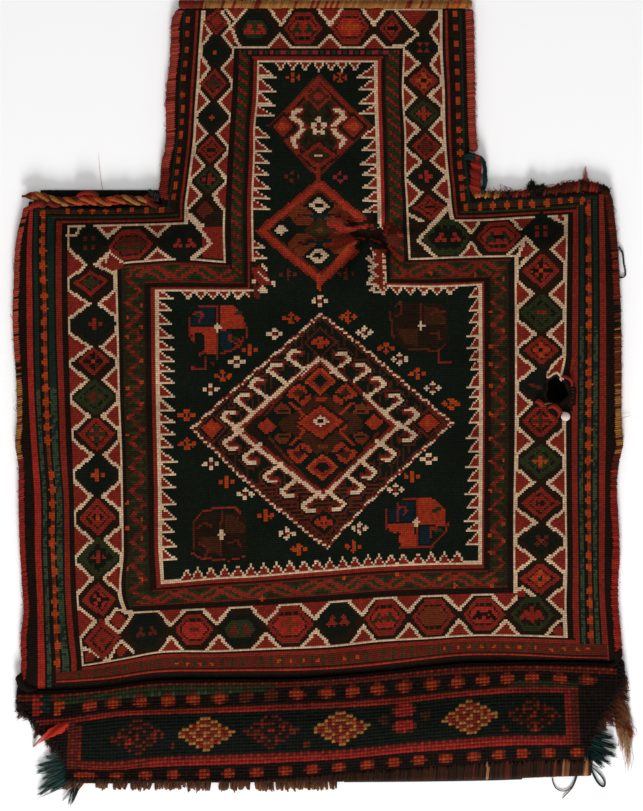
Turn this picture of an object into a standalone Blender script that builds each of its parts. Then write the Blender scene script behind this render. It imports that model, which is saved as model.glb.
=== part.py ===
"""Flat-woven salt bag lying on its back: a wide pocket with a narrow neck, open at the mouth.

The patterned front and the plain back are two woven panels, joined by wrapped bindings along their
sides, shoulders and foot. The front arches over the pocket, and its lowest band is thicker knotted
pile. +Y runs towards the mouth and +Z out of the front. The origin is on the ground, under the
middle of the body.
"""

import math

import bmesh
import bpy
import numpy as np

# Body and neck, measured over their bindings
BODY_WIDTH = 0.410
BODY_HEIGHT = 0.400
NECK_WIDTH = 0.211
NECK_HEIGHT = 0.1305
NECK_SHIFT = 0.002

# Panels
BACK_THICKNESS = 0.0020
FRONT_THICKNESS = 0.0028
PIECE_GAP = 0.0003
SEAM_GAP = 0.0005
POCKET_LIFT = 0.0080
SEAM_RAMP = 0.040
GROUND_GAP = 0.0001

# Bindings
SIDE_BINDING_WIDTH = 0.0037
NECK_BINDING_WIDTH = 0.0044
SHOULDER_BINDING_WIDTH = 0.0054
MOUTH_BINDING_WIDTH = 0.0056
MOUTH_BINDING_RISE = 0.0006
BACK_MOUTH_BINDING_WIDTH = 0.0030
BINDING_RISE = 0.0005
FOOT_BINDING_WIDTH = 0.0040
BRAID_WIDTH = 0.0092
BRAID_DEPTH = 0.0040
BRAID_LOOPS = 14
BACK_PEEK = 0.0024

# Knotted band along the foot, and the groove above it
PILE_DEPTH = 0.0016
PILE_ROWS = (0.0, 0.06, 0.3, 0.55, 0.8, 0.95, 1.0)
PILE_SWELL = (0.55, 1.0, 1.0, 1.0, 1.0, 0.9, 0.0)
GROOVE_WIDTH = 0.0068
GROOVE_DEPTH = 0.0010
PILE_HEIGHT = 0.0625
PILE_RISE = [(0.0, 0.0), (0.5, 0.0105), (0.78, 0.0140), (1.0, 0.0150)]

# How the hand-made edges wander: share of the way along, offset from the straight line
LEFT_WANDER = [(0.0, 0.0300), (0.036, 0.0255), (0.07, 0.0180), (0.104, 0.0095), (0.13, 0.0005),
               (0.20, 0.0015), (0.324, 0.0033), (0.477, 0.0013), (0.647, 0.0), (0.817, -0.0030),
               (0.90, -0.0014), (1.0, 0.0030)]
RIGHT_WANDER = [(0.0, -0.0290), (0.036, -0.0210), (0.087, -0.0140), (0.138, -0.0050),
                (0.183, 0.0017), (0.224, 0.0010), (0.307, -0.0017), (0.535, -0.0017),
                (0.567, 0.0003), (0.80, 0.0003), (0.90, -0.0017), (1.0, -0.0065)]
NECK_LEFT_WANDER = [(0.0, -0.0060), (0.12, -0.0040), (0.30, -0.0008), (0.50, 0.0),
                    (0.72, 0.0022), (1.0, 0.0072)]
NECK_RIGHT_WANDER = [(0.0, 0.0005), (0.25, 0.0004), (0.55, -0.0014), (1.0, -0.0029)]
FOOT_WANDER = [(0.0, 0.0), (0.55, 0.0006), (0.78, 0.0026), (1.0, 0.0040)]
RIGHT_SHOULDER_WANDER = [(0.0, 0.0), (0.3, 0.0004), (0.5, 0.0022), (0.7, 0.0056), (0.87, 0.0054),
                         (1.0, 0.0028)]

# Where each side binding turns from red wool to black, and where the black ends at the worn corner
LEFT_RED_END = 0.165
LEFT_BLACK_END = 0.125
RIGHT_RED_END = 0.212
RIGHT_BLACK_END = 0.158

# Puckered mend near the neck's foot: place, reach, depth and folds
PUCKER_X = 0.0326
PUCKER_BELOW_SHOULDER = 0.030
PUCKER_REACH = 0.022
PUCKER_DEPTH = 0.0050
PUCKER_FOLDS = 7
PUCKER_FOLD_HEIGHT = 0.0012

# Slack in the front panel
SLACK_HEIGHT = 0.0007
SLACK_LENGTH_X = 0.085
SLACK_LENGTH_Y = 0.065

# Hole worn through the right border, and the cotton knot below it
HOLE_FROM_RIGHT = 0.0420
HOLE_ABOVE_MIDDLE = 0.0645
HOLE_WIDTH = 0.0110
HOLE_HEIGHT = 0.0140
KNOT_DIAMETER = 0.0048
KNOT_BELOW_HOLE = 0.0185
KNOT_RIGHT_OF_HOLE = 0.0040
KNOT_GAP = 0.0005

# Thick wrapped repair at the neck's right foot, and the knot on the right shoulder
NECK_WRAP_LENGTH = 0.0260
NECK_WRAP_BULGE = 0.0050
SHOULDER_KNOT_ALONG = 0.0360
SHOULDER_KNOT_OUTLINE = [(-0.0055, 0.0008), (0.0055, 0.0008), (0.0050, 0.0030), (0.0015, 0.0035),
                         (-0.0005, 0.0078), (-0.0018, 0.0080), (-0.0020, 0.0040),
                         (-0.0050, 0.0030)]

# Clumps of warp ends along the left of the foot: left side, right side and length
FRINGE_THICKNESS = 0.0020
FRINGE_HEM = 0.0020
FRINGE_START = 0.0010
FRINGE_CLUMPS = [(0.0, 0.0100, 0.0068), (0.0220, 0.0295, 0.0068), (0.0345, 0.0430, 0.0072),
                 (0.0460, 0.0590, 0.0070), (0.0640, 0.0830, 0.0075), (0.0840, 0.1000, 0.0072),
                 (0.1060, 0.1270, 0.0066), (0.1300, 0.1430, 0.0063), (0.1450, 0.1630, 0.0058),
                 (0.1650, 0.1860, 0.0036)]

# Frayed corners: stretch of worn edge above the foot, then each tip, out and up from the corner
TUFT_HEIGHT = 0.0042
TUFT_VALLEY = 0.62
TEAL_LEFT_ROOT = (0.0012, 0.0185)
TEAL_LEFT_TIPS = [(0.0116, 0.0187), (0.0163, 0.0129), (0.0211, 0.0075), (0.0197, 0.0014),
                  (0.0224, -0.0048), (0.0156, -0.0109), (0.0048, -0.0118)]
HAIR_LEFT_ROOT = (0.0330, 0.0470)
HAIR_LEFT_TIPS = [(0.0330, 0.0410), (0.0265, 0.0375), (0.0240, 0.0310), (0.0215, 0.0300)]
TEAL_RIGHT_ROOT = (0.0150, 0.0350)
TEAL_RIGHT_TIPS = [(0.0245, 0.0360), (0.0276, 0.0313), (0.0290, 0.0238), (0.0269, 0.0190),
                   (0.0235, 0.0129), (0.0200, 0.0109), (0.0154, 0.0138)]
HAIR_RIGHT_ROOT = (0.0380, 0.0610)
HAIR_RIGHT_TIPS = [(0.0385, 0.0625), (0.0410, 0.0551), (0.0402, 0.0469), (0.0428, 0.0360),
                   (0.0419, 0.0156), (0.0337, 0.0350), (0.0290, 0.0385)]

# Rag over the left corner: out and up from the corner, rise over the pile, width
RAG_THICKNESS = 0.0009
RAG_ROUTE = [(0.0000, 0.0385, 0.0010, 0.0018), (0.0070, 0.0355, 0.0012, 0.0050),
             (0.0130, 0.0320, 0.0012, 0.0044), (0.0190, 0.0280, -0.0006, 0.0028),
             (0.0238, 0.0228, -0.0030, 0.0012)]

# Loose threads: routes along the ground, from the place where each leaves the bag
THREAD_DIAMETER = 0.0010
LOOP_DIAMETER = 0.0013
THREAD_STEPS = 4
TEAL_LOOP_ROOT = 0.0100
TEAL_LOOP = [(0.0125, 0.0078), (0.0170, 0.0030), (0.0212, -0.0032), (0.0222, -0.0022),
             (0.0185, 0.0038), (0.0145, 0.0085)]
CURL_ROUTE = [(0.1577, 0.0), (0.1590, 0.0040), (0.1620, 0.0080), (0.1660, 0.0095),
              (0.1700, 0.0080), (0.1720, 0.0040)]
SIDE_LOOP = [(0.1625, 0.0), (0.1590, 0.0026), (0.1520, 0.0042), (0.1450, 0.0036), (0.1420, 0.0)]
SHOULDER_THREAD_X = 0.1815
SHOULDER_THREAD = [(0.0, 0.0), (0.0004, 0.0050), (-0.0004, 0.0110)]

# Fineness of the grids
FRONT_COLUMNS = (7, 19, 9)
FRONT_WEAVE_ROWS = 23
FRONT_NECK_ROWS = 11
BACK_COLUMNS = (2, 3, 9)
BACK_WEAVE_ROWS = 23
BACK_NECK_ROWS = 11

BODY_FOOT = -BODY_HEIGHT / 2
BODY_TOP = BODY_HEIGHT / 2
MOUTH = BODY_TOP + NECK_HEIGHT
FRONT_SEAT = BACK_THICKNESS + PIECE_GAP
SEAM_TOP = FRONT_SEAT + FRONT_THICKNESS


def clear_scene():
    for item in list(bpy.data.objects):
        bpy.data.objects.remove(item, do_unlink=True)


def finish(name, colour, roughness=0.9, metallic=0.0):
    """A plain material: base colour, roughness and metallic value."""
    material = bpy.data.materials.new(name)
    material.use_nodes = True
    shader = material.node_tree.nodes["Principled BSDF"]
    shader.inputs["Base Color"].default_value = (*colour, 1.0)
    shader.inputs["Roughness"].default_value = roughness
    shader.inputs["Metallic"].default_value = metallic
    return material


def add_mesh(name, points, faces, material, smooth=True):
    """One named object from points and faces, normals made to face out."""
    mesh = bpy.data.meshes.new(name)
    mesh.from_pydata([tuple(map(float, p)) for p in points], [], [tuple(map(int, f)) for f in faces])
    body = bmesh.new()
    body.from_mesh(mesh)
    loose = [v for v in body.verts if not v.link_faces]
    bmesh.ops.delete(body, geom=loose, context="VERTS")
    bmesh.ops.recalc_face_normals(body, faces=body.faces)
    body.to_mesh(mesh)
    body.free()
    if smooth:
        mesh.shade_smooth()
        mesh.set_sharp_from_angle(angle=math.radians(50))
    mesh.materials.append(material)
    piece = bpy.data.objects.new(name, mesh)
    bpy.context.collection.objects.link(piece)
    return piece


def wander(stations, at):
    """Smooth curve through the stations, a cubic between each pair, read at the shares given."""
    place, offset = np.array(stations, dtype=float).T
    slope = np.gradient(offset, place)
    at = np.clip(np.asarray(at, dtype=float), place[0], place[-1])
    cell = np.clip(np.searchsorted(place, at, side="right") - 1, 0, len(place) - 2)
    span = place[cell + 1] - place[cell]
    t = (at - place[cell]) / span
    start = (2 * t**3 - 3 * t**2 + 1) * offset[cell] + (t**3 - 2 * t**2 + t) * span * slope[cell]
    stop = (3 * t**2 - 2 * t**3) * offset[cell + 1] + (t**3 - t**2) * span * slope[cell + 1]
    return start + stop


def smooth_step(t):
    t = np.clip(t, 0.0, 1.0)
    return t * t * (3 - 2 * t)


def body_share(y):
    return (np.asarray(y) - BODY_FOOT) / BODY_HEIGHT


def left_edge(y):
    return -BODY_WIDTH / 2 + wander(LEFT_WANDER, body_share(y))


def right_edge(y):
    return BODY_WIDTH / 2 + wander(RIGHT_WANDER, body_share(y))


def neck_share(y):
    return (np.asarray(y) - BODY_TOP) / NECK_HEIGHT


def neck_left_edge(y):
    return NECK_SHIFT - NECK_WIDTH / 2 + wander(NECK_LEFT_WANDER, neck_share(y))


def neck_right_edge(y):
    return NECK_SHIFT + NECK_WIDTH / 2 + wander(NECK_RIGHT_WANDER, neck_share(y))


def foot_edge(x):
    return BODY_FOOT + wander(FOOT_WANDER, np.asarray(x) / BODY_WIDTH + 0.5)


def pile_top(x):
    rise = wander(PILE_RISE, np.asarray(x) / BODY_WIDTH + 0.5)
    return BODY_FOOT + PILE_HEIGHT + rise


def pile_lines(x):
    """Heights of the pile band's rows at a place across the body, from the panel's foot up."""
    x = np.asarray(x, dtype=float)
    foot = panel_foot(x)
    return foot + (pile_top(x) - foot) * np.array(PILE_ROWS).reshape((-1,) + (1,) * x.ndim)


def right_shoulder_edge(x):
    start = neck_right_edge(BODY_TOP)
    share = (np.asarray(x) - start) / (right_edge(BODY_TOP) - start)
    return BODY_TOP + wander(RIGHT_SHOULDER_WANDER, share)


def panel_right_shoulder(x):
    return right_shoulder_edge(x) - SHOULDER_BINDING_WIDTH - PIECE_GAP


def panel_left(y):
    return left_edge(y) + SIDE_BINDING_WIDTH + SEAM_GAP


def panel_right(y):
    return right_edge(y) - SIDE_BINDING_WIDTH - SEAM_GAP


def panel_neck_left(y):
    return neck_left_edge(y) + NECK_BINDING_WIDTH + SEAM_GAP


def panel_neck_right(y):
    return neck_right_edge(y) - NECK_BINDING_WIDTH - SEAM_GAP


def panel_foot(x):
    return foot_edge(x) + FOOT_BINDING_WIDTH + PIECE_GAP


def t_grid(columns, weave_rows, neck_rows, left_shoulder, mouth):
    """Grid of a panel: the body's rows from foot to shoulder, then the neck's up to the mouth.

    Returns x, y and the mask of cells in use. The groove and the pile band have rows of their own.
    """
    left, middle, right = columns
    neck_start = (panel_neck_left(BODY_TOP) - panel_left(BODY_TOP)) / (
        panel_right(BODY_TOP) - panel_left(BODY_TOP)
    )
    neck_stop = (panel_neck_right(BODY_TOP) - panel_left(BODY_TOP)) / (
        panel_right(BODY_TOP) - panel_left(BODY_TOP)
    )
    share = np.concatenate([
        np.linspace(0, neck_start, left + 1)[:-1],
        np.linspace(neck_start, neck_stop, middle + 1)[:-1],
        np.linspace(neck_stop, 1, right + 1),
    ])
    straight = (share - 0.5) * BODY_WIDTH
    column = np.arange(len(share))
    shoulder = np.where(column <= left, left_shoulder, BODY_TOP)
    at_top = panel_left(BODY_TOP) + (panel_right(BODY_TOP) - panel_left(BODY_TOP)) * share
    shoulder = np.where(column >= left + middle, panel_right_shoulder(at_top), shoulder)
    lines = list(pile_lines(straight))
    start = lines[-1] + GROOVE_WIDTH
    lines += [lines[-1] + GROOVE_WIDTH / 2, start]
    lines += [start + (shoulder - start) * t for t in np.linspace(0, 1, weave_rows + 1)[1:]]
    body_rows = len(lines) - 1
    lines += [shoulder + (mouth - shoulder) * t for t in np.linspace(0, 1, neck_rows + 1)[1:]]
    y = np.array(lines)
    x = panel_left(y) + (panel_right(y) - panel_left(y)) * share
    neck = np.clip((share - neck_start) / (neck_stop - neck_start), 0, 1)
    across = panel_neck_left(y) + (panel_neck_right(y) - panel_neck_left(y)) * neck
    x[body_rows + 1:] = across[body_rows + 1:]
    cells = np.ones((len(lines) - 1, len(share) - 1), dtype=bool)
    cells[body_rows:, :left] = False
    cells[body_rows:, left + middle:] = False
    return x, y, cells


def plate(name, x, y, low, high, cells, material):
    """Closed slab between two height grids, with a wall wherever a used cell has no neighbour."""
    rows, columns = x.shape
    top = np.arange(rows * columns).reshape(rows, columns)
    under = top + rows * columns
    points = np.concatenate([
        np.stack([x, y, high], axis=-1).reshape(-1, 3),
        np.stack([x, y, low], axis=-1).reshape(-1, 3),
    ])
    used = np.pad(cells, 1)
    faces = []
    for row, column in np.argwhere(cells):
        ring = [(row, column), (row, column + 1), (row + 1, column + 1), (row + 1, column)]
        faces.append([top[c] for c in ring])
        faces.append([under[c] for c in reversed(ring)])
        beyond = [(row, column + 1), (row + 1, column + 2), (row + 2, column + 1), (row + 1, column)]
        for side, neighbour in enumerate(beyond):
            if not used[neighbour]:
                a, b = ring[side], ring[(side + 1) % 4]
                faces.append([top[b], top[a], under[a], under[b]])
    return add_mesh(name, points, faces, material)


def seam_distance_lift(x, y):
    """0 at every seam, 1 a seam ramp or more inside; the mouth stays open."""
    notch_left = np.hypot(np.maximum(x - panel_neck_left(y), 0), np.maximum(BODY_TOP - y, 0))
    notch_right = np.hypot(np.maximum(panel_neck_right(y) - x, 0), np.maximum(BODY_TOP - y, 0))
    lift = np.ones_like(x)
    in_body = y < BODY_TOP
    for distance in (x - panel_left(y), panel_right(y) - x, y - panel_foot(x)):
        lift = lift * np.where(in_body, smooth_step(distance / SEAM_RAMP), 1.0)
    for distance in (notch_left, notch_right):
        lift = lift * smooth_step(distance / SEAM_RAMP)
    shoulder = smooth_step((BODY_TOP - y) / SEAM_RAMP)
    outside = (x < panel_neck_left(BODY_TOP)) | (x > panel_neck_right(BODY_TOP))
    return np.where(outside & in_body, lift * shoulder, lift)


def front_underside(x, y):
    """Height of the front panel's underside: arch, slack ripples and the pucker."""
    lift = seam_distance_lift(x, y)
    slack = np.sin(2 * math.pi * x / SLACK_LENGTH_X) * np.cos(2 * math.pi * y / SLACK_LENGTH_Y)
    height = FRONT_SEAT + lift * (POCKET_LIFT + SLACK_HEIGHT * slack)
    from_x = x - PUCKER_X
    from_y = y - (BODY_TOP - PUCKER_BELOW_SHOULDER)
    reach = np.hypot(from_x, from_y) / PUCKER_REACH
    folds = np.cos(PUCKER_FOLDS * np.arctan2(from_y, from_x)) * reach * np.exp(1 - reach**2)
    height = height - PUCKER_DEPTH * lift * np.exp(-(reach**2)) + PUCKER_FOLD_HEIGHT * lift * folds
    return np.maximum(height, FRONT_SEAT)


def front_panel(material):
    """The patterned face: flat weave above, thicker knotted pile below a groove, holed at one side."""
    left_shoulder = BODY_TOP - BRAID_WIDTH - PIECE_GAP
    mouth = MOUTH - MOUTH_BINDING_WIDTH - PIECE_GAP
    x, y, cells = t_grid(FRONT_COLUMNS, FRONT_WEAVE_ROWS, FRONT_NECK_ROWS, left_shoulder, mouth)
    low = front_underside(x, y)
    extra = np.zeros(len(x))
    extra[: len(PILE_SWELL)] = np.array(PILE_SWELL) * PILE_DEPTH
    extra[len(PILE_ROWS)] = -GROOVE_DEPTH
    panel = plate("front_panel", x, y, low, low + FRONT_THICKNESS + extra[:, None], cells, material)
    cut = panel.modifiers.new("worn hole", "BOOLEAN")
    cut.operation = "DIFFERENCE"
    cut.solver = "EXACT"
    cut.object = hole_cutter()
    return panel


def hole_cutter():
    """Ragged oval prism that opens the worn hole."""
    middle_x = BODY_WIDTH / 2 - HOLE_FROM_RIGHT
    ragged = (1.0, 0.9, 1.08, 0.94, 1.04, 0.88, 1.0, 1.1, 0.92, 1.05)
    angles = np.linspace(0, 2 * math.pi, len(ragged), endpoint=False)
    outline = [
        (
            middle_x + HOLE_WIDTH / 2 * r * math.cos(a),
            HOLE_ABOVE_MIDDLE + HOLE_HEIGHT / 2 * r * math.sin(a),
        )
        for r, a in zip(ragged, angles)
    ]
    cutter = slab("hole_cutter", outline, 0.0, SEAM_TOP + 2 * POCKET_LIFT, None)
    cutter.hide_render = True
    cutter.display_type = "WIRE"
    return cutter


def back_panel(material):
    """The plain back, flat on the ground, showing past the braid at the left shoulder."""
    mouth = MOUTH - BACK_MOUTH_BINDING_WIDTH - PIECE_GAP
    left_shoulder = BODY_TOP + BACK_PEEK
    x, y, cells = t_grid(BACK_COLUMNS, BACK_WEAVE_ROWS, BACK_NECK_ROWS, left_shoulder, mouth)
    low = np.zeros_like(x)
    return plate("back_panel", x, y, low, low + BACK_THICKNESS, cells, material)


def slab(name, outline, bottom, top, material):
    """Straight-sided closed piece over a plan outline."""
    count = len(outline)
    points = [(x, y, bottom) for x, y in outline] + [(x, y, top) for x, y in outline]
    faces = [list(range(count))[::-1], list(range(count, 2 * count))]
    faces += [[i, (i + 1) % count, count + (i + 1) % count, count + i] for i in range(count)]
    if material is None:
        material = finish(name, (0.5, 0.5, 0.5))
    return add_mesh(name, points, faces, material, smooth=False)


def sweep(name, path, across, half_width, half_height, material, sides=8):
    """Closed tube of oval section carried along a path.

    Each ring lies in the plane of the across direction and +Z. The half sizes may change along it.
    """
    path = np.asarray(path, dtype=float)
    count = len(path)
    wide = np.broadcast_to(half_width, count)
    tall = np.broadcast_to(half_height, count)
    angles = (np.arange(sides) + 0.5) * 2 * math.pi / sides
    round_to = 1 / math.cos(math.pi / sides)
    across = np.asarray(across, dtype=float)
    points = (
        path[:, None, :]
        + np.cos(angles)[None, :, None] * (wide * round_to)[:, None, None] * across
        + np.sin(angles)[None, :, None] * (tall * round_to)[:, None, None] * np.array([0, 0, 1.0])
    ).reshape(-1, 3)
    faces = []
    for ring in range(count - 1):
        for side in range(sides):
            a = ring * sides + side
            b = ring * sides + (side + 1) % sides
            faces.append([a, b, b + sides, a + sides])
    faces.append(list(range(sides))[::-1])
    faces.append([(count - 1) * sides + i for i in range(sides)])
    return add_mesh(name, points, faces, material)


def upright_binding(name, edge, inward, width, start, stop, rings, material):
    """Wool wrapped round both panels' edges, along a side of the body or the neck."""
    y = np.linspace(start, stop, rings)
    top = SEAM_TOP + BINDING_RISE
    path = np.stack([
        edge(y) + inward * width / 2,
        y,
        np.full(rings, (GROUND_GAP + top) / 2),
    ], axis=1)
    tall = (top - GROUND_GAP) / 2
    return sweep(name, path, (1, 0, 0), width / 2, tall, material)


def side_bindings(red, black):
    left_turn = BODY_FOOT + LEFT_RED_END * BODY_HEIGHT
    left_end = BODY_FOOT + LEFT_BLACK_END * BODY_HEIGHT
    right_turn = BODY_FOOT + RIGHT_RED_END * BODY_HEIGHT
    right_end = BODY_FOOT + RIGHT_BLACK_END * BODY_HEIGHT
    left_top = BODY_TOP - BRAID_WIDTH - PIECE_GAP
    right_top = float(panel_right_shoulder(right_edge(BODY_TOP)))
    left_turn_top, right_turn_top = left_turn + PIECE_GAP, right_turn + PIECE_GAP
    width = SIDE_BINDING_WIDTH
    upright_binding("side_binding_left", left_edge, 1, width, left_turn_top, left_top, 24, red)
    upright_binding("side_binding_right", right_edge, -1, width, right_turn_top, right_top, 24, red)
    upright_binding("band_binding_left", left_edge, 1, width, left_end, left_turn, 6, black)
    upright_binding("band_binding_right", right_edge, -1, width, right_end, right_turn, 6, black)


def neck_bindings(red, dark):
    """Red wrapping up both sides of the neck, with a darker thick repair at the right foot."""
    top = MOUTH - MOUTH_BINDING_WIDTH - PIECE_GAP
    width = NECK_BINDING_WIDTH
    start = BODY_TOP + BACK_PEEK + PIECE_GAP
    upright_binding("neck_binding_left", neck_left_edge, 1, width, start, top, 13, red)
    wrap_top = BODY_TOP + NECK_WRAP_LENGTH
    upright_binding(
        "neck_binding_right", neck_right_edge, -1, width, wrap_top + PIECE_GAP, top, 12, red
    )
    y = np.linspace(BODY_TOP + PIECE_GAP, wrap_top, 9)
    bulge = NECK_WRAP_BULGE * np.array([0.9, 1.0, 0.85, 1.0, 0.9, 1.0, 0.8, 0.6, 0.15])
    inner = neck_right_edge(y) - width
    outer = neck_right_edge(y) + bulge
    high = SEAM_TOP + BINDING_RISE + bulge * 0.3
    path = np.stack([(inner + outer) / 2, y, (high + GROUND_GAP) / 2], axis=1)
    half = (outer - inner) / 2
    return sweep("neck_wrap_right", path, (1, 0, 0), half, (high - GROUND_GAP) / 2, dark)


def mouth_bindings(gold, dark):
    """Gold overcasting along the arched front of the mouth, and a thin plain one behind it."""
    rings = 21
    y = MOUTH - MOUTH_BINDING_WIDTH / 2
    edge_y = MOUTH - MOUTH_BINDING_WIDTH - PIECE_GAP
    x = np.linspace(neck_left_edge(MOUTH), neck_right_edge(MOUTH), rings)
    low = front_underside(x, np.full(rings, edge_y))
    tall = (FRONT_THICKNESS + MOUTH_BINDING_RISE) / 2
    path = np.stack([x, np.full(rings, y), low + tall], axis=1)
    sweep("mouth_binding_front", path, (0, 1, 0), MOUTH_BINDING_WIDTH / 2, tall, gold)
    x = np.linspace(neck_left_edge(MOUTH), neck_right_edge(MOUTH), 9)
    top = FRONT_SEAT - PIECE_GAP
    y = np.full(9, MOUTH - BACK_MOUTH_BINDING_WIDTH / 2)
    path = np.stack([x, y, np.full(9, (GROUND_GAP + top) / 2)], axis=1)
    half = BACK_MOUTH_BINDING_WIDTH / 2
    sweep("mouth_binding_back", path, (0, 1, 0), half, (top - GROUND_GAP) / 2, dark)


def shoulder_pieces(gold, red, dark):
    """A plaited cord over the left shoulder, worn wrapping and a knot on the right one."""
    start = left_edge(BODY_TOP) + PIECE_GAP
    stop = neck_left_edge(BODY_TOP) - PIECE_GAP
    rings = 4 * BRAID_LOOPS + 1
    t = np.linspace(0, 1, rings)
    swell = 0.80 + 0.20 * np.abs(np.sin(math.pi * BRAID_LOOPS * t))
    swell[[0, -1]] = 0.45
    y = np.full(rings, BODY_TOP - BRAID_WIDTH / 2)
    z = np.full(rings, FRONT_SEAT + BRAID_DEPTH / 2)
    path = np.stack([start + (stop - start) * t, y, z], axis=1)
    half = BRAID_WIDTH / 2 * swell
    sweep("shoulder_braid_left", path, (0, 1, 0), half, BRAID_DEPTH / 2 * swell, gold)

    start = neck_right_edge(BODY_TOP) + PIECE_GAP
    stop = right_edge(BODY_TOP)
    x = np.linspace(start, stop, 15)
    top = SEAM_TOP + BINDING_RISE
    tall = (top - GROUND_GAP) / 2
    y = right_shoulder_edge(x) - SHOULDER_BINDING_WIDTH / 2
    path = np.stack([x, y, np.full(15, (top + GROUND_GAP) / 2)], axis=1)
    sweep("shoulder_binding_right", path, (0, 1, 0), SHOULDER_BINDING_WIDTH / 2, tall, red)

    knot_x = start + SHOULDER_KNOT_ALONG
    knot_y = float(right_shoulder_edge(knot_x)) + PIECE_GAP
    outline = [(knot_x + dx, knot_y + dy) for dx, dy in SHOULDER_KNOT_OUTLINE]
    slab("shoulder_knot_right", outline, GROUND_GAP, TUFT_HEIGHT, dark)


def foot_binding(brown):
    """Overcasting that closes both panels along the foot."""
    rings = 29
    x = np.linspace(panel_left(BODY_FOOT), panel_right(BODY_FOOT), rings)
    top = SEAM_TOP + BINDING_RISE
    y = foot_edge(x) + FOOT_BINDING_WIDTH / 2
    path = np.stack([x, y, np.full(rings, (top + GROUND_GAP) / 2)], axis=1)
    tall = (top - GROUND_GAP) / 2
    sweep("foot_binding", path, (0, 1, 0), FOOT_BINDING_WIDTH / 2, tall, brown)


def warp_fringe(brown):
    """Comb of cut warp ends below the foot, one hem with a clump for each group of warps."""
    start = float(panel_left(BODY_FOOT)) + FRINGE_START

    def under(x, drop):
        return (x, float(foot_edge(x)) - PIECE_GAP - drop)

    outline = []
    for left, right, length in FRINGE_CLUMPS:
        left, right = start + left, start + right
        outline.append(under(left, FRINGE_HEM))
        outline.append(under(left + 0.0006, length))
        outline.append(under((left + right) / 2, length * 1.05))
        outline.append(under(right - 0.0006, length * 0.97))
        outline.append(under(right, FRINGE_HEM))
    stop = start + FRINGE_CLUMPS[-1][1]
    for x in np.linspace(stop, start, 16):
        outline.append(under(float(x), 0.0))
    slab("warp_fringe", outline, GROUND_GAP, FRINGE_THICKNESS, brown)


def worn_edge(side, y):
    """Worn corner's edge, a gap outside the panels, straight between their rows of pile."""
    rows = pile_lines(side * BODY_WIDTH / 2)
    edge = panel_left(rows) if side < 0 else panel_right(rows)
    return float(np.interp(y, rows, edge)) + side * PIECE_GAP


def from_corner(side, out, up):
    """Place measured outwards and upwards from the corner where the worn edge meets the foot."""
    return worn_edge(side, BODY_FOOT) + side * out, BODY_FOOT + up


def tuft(name, side, low, high, tips, height, material):
    """Frayed ends fanning out from a stretch of the worn edge, low and high above the foot."""
    root = [(worn_edge(side, BODY_FOOT + t), BODY_FOOT + t) for t in np.linspace(low, high, 7)]
    middle = np.mean(root, axis=0)
    ends = [np.array(from_corner(side, out, up)) for out, up in tips]
    outline = list(root)
    for index, end in enumerate(ends):
        outline.append(tuple(end))
        if index + 1 < len(ends):
            between = (end + ends[index + 1]) / 2
            outline.append(tuple(middle + (between - middle) * TUFT_VALLEY))
    slab(name, outline, GROUND_GAP, height, material)


def thread(name, route, diameter, material, height=None):
    """Loose yarn: a round tube on a smooth curve through its route, lying on the ground."""
    route = np.array(route, dtype=float)
    along = np.arange(len(route), dtype=float)
    fine = np.linspace(0, len(route) - 1, THREAD_STEPS * (len(route) - 1) + 1)
    spots = [wander(list(zip(along, route[:, axis])), fine) for axis in (0, 1)]
    curve = bpy.data.curves.new(name, "CURVE")
    curve.dimensions = "3D"
    curve.bevel_depth = diameter / 2
    curve.bevel_resolution = 1
    curve.use_fill_caps = True
    line = curve.splines.new("POLY")
    line.points.add(len(fine) - 1)
    lift = GROUND_GAP + diameter / 2 if height is None else height
    for point, x, y in zip(line.points, *spots):
        point.co = (x, y, lift, 1.0)
    curve.materials.append(material)
    piece = bpy.data.objects.new(name, curve)
    bpy.context.collection.objects.link(piece)
    return piece


def rag_strip(material):
    """Torn strip of red cloth lying over the worn left corner and drooping past it."""
    places = np.array([from_corner(-1, out, up) for out, up, _, _ in RAG_ROUTE])
    rise = np.array([lift for _, _, lift, _ in RAG_ROUTE])
    half = np.array([wide for _, _, _, wide in RAG_ROUTE]) / 2
    seat = front_underside(*places.T) + FRONT_THICKNESS + PILE_DEPTH
    path = np.column_stack([places, seat + rise])
    run = places[-1] - places[0]
    across = np.array([-run[1], run[0], 0.0]) / np.hypot(*run)
    sweep("rag_strip", path, across, half, RAG_THICKNESS / 2, material, sides=6)


def corner_trim(teal, brown, red):
    """Frayed tufts, tassels, the rag and the loose threads round the worn edges."""
    tuft("teal_tassel_left", -1, *TEAL_LEFT_ROOT, TEAL_LEFT_TIPS, TUFT_HEIGHT, teal)
    tuft("hair_tuft_left", -1, *HAIR_LEFT_ROOT, HAIR_LEFT_TIPS, FRINGE_THICKNESS, brown)
    tuft("teal_tassel_right", 1, *TEAL_RIGHT_ROOT, TEAL_RIGHT_TIPS, TUFT_HEIGHT, teal)
    tuft("hair_tuft_right", 1, *HAIR_RIGHT_ROOT, HAIR_RIGHT_TIPS, TUFT_HEIGHT, brown)
    rag_strip(red)
    root = BODY_FOOT + TEAL_LOOP_ROOT
    loop = [(worn_edge(1, root) + LOOP_DIAMETER / 3, root)]
    loop += [from_corner(1, out, up) for out, up in TEAL_LOOP]
    thread("teal_loop_right", loop, LOOP_DIAMETER, teal)
    near = THREAD_DIAMETER / 2 + PIECE_GAP
    curl = [(x, float(foot_edge(x)) - near - drop) for x, drop in CURL_ROUTE]
    thread("thread_curl_right", curl, THREAD_DIAMETER, brown)
    side = [(y, float(right_edge(y)) + near + out) for y, out in SIDE_LOOP]
    thread("side_thread_loop", [(x, y) for y, x in side], THREAD_DIAMETER, teal)
    start = float(right_shoulder_edge(SHOULDER_THREAD_X)) + PIECE_GAP
    spike = [(SHOULDER_THREAD_X + lean, start + up) for lean, up in SHOULDER_THREAD]
    thread("shoulder_thread", spike, LOOP_DIAMETER, red)


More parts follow.
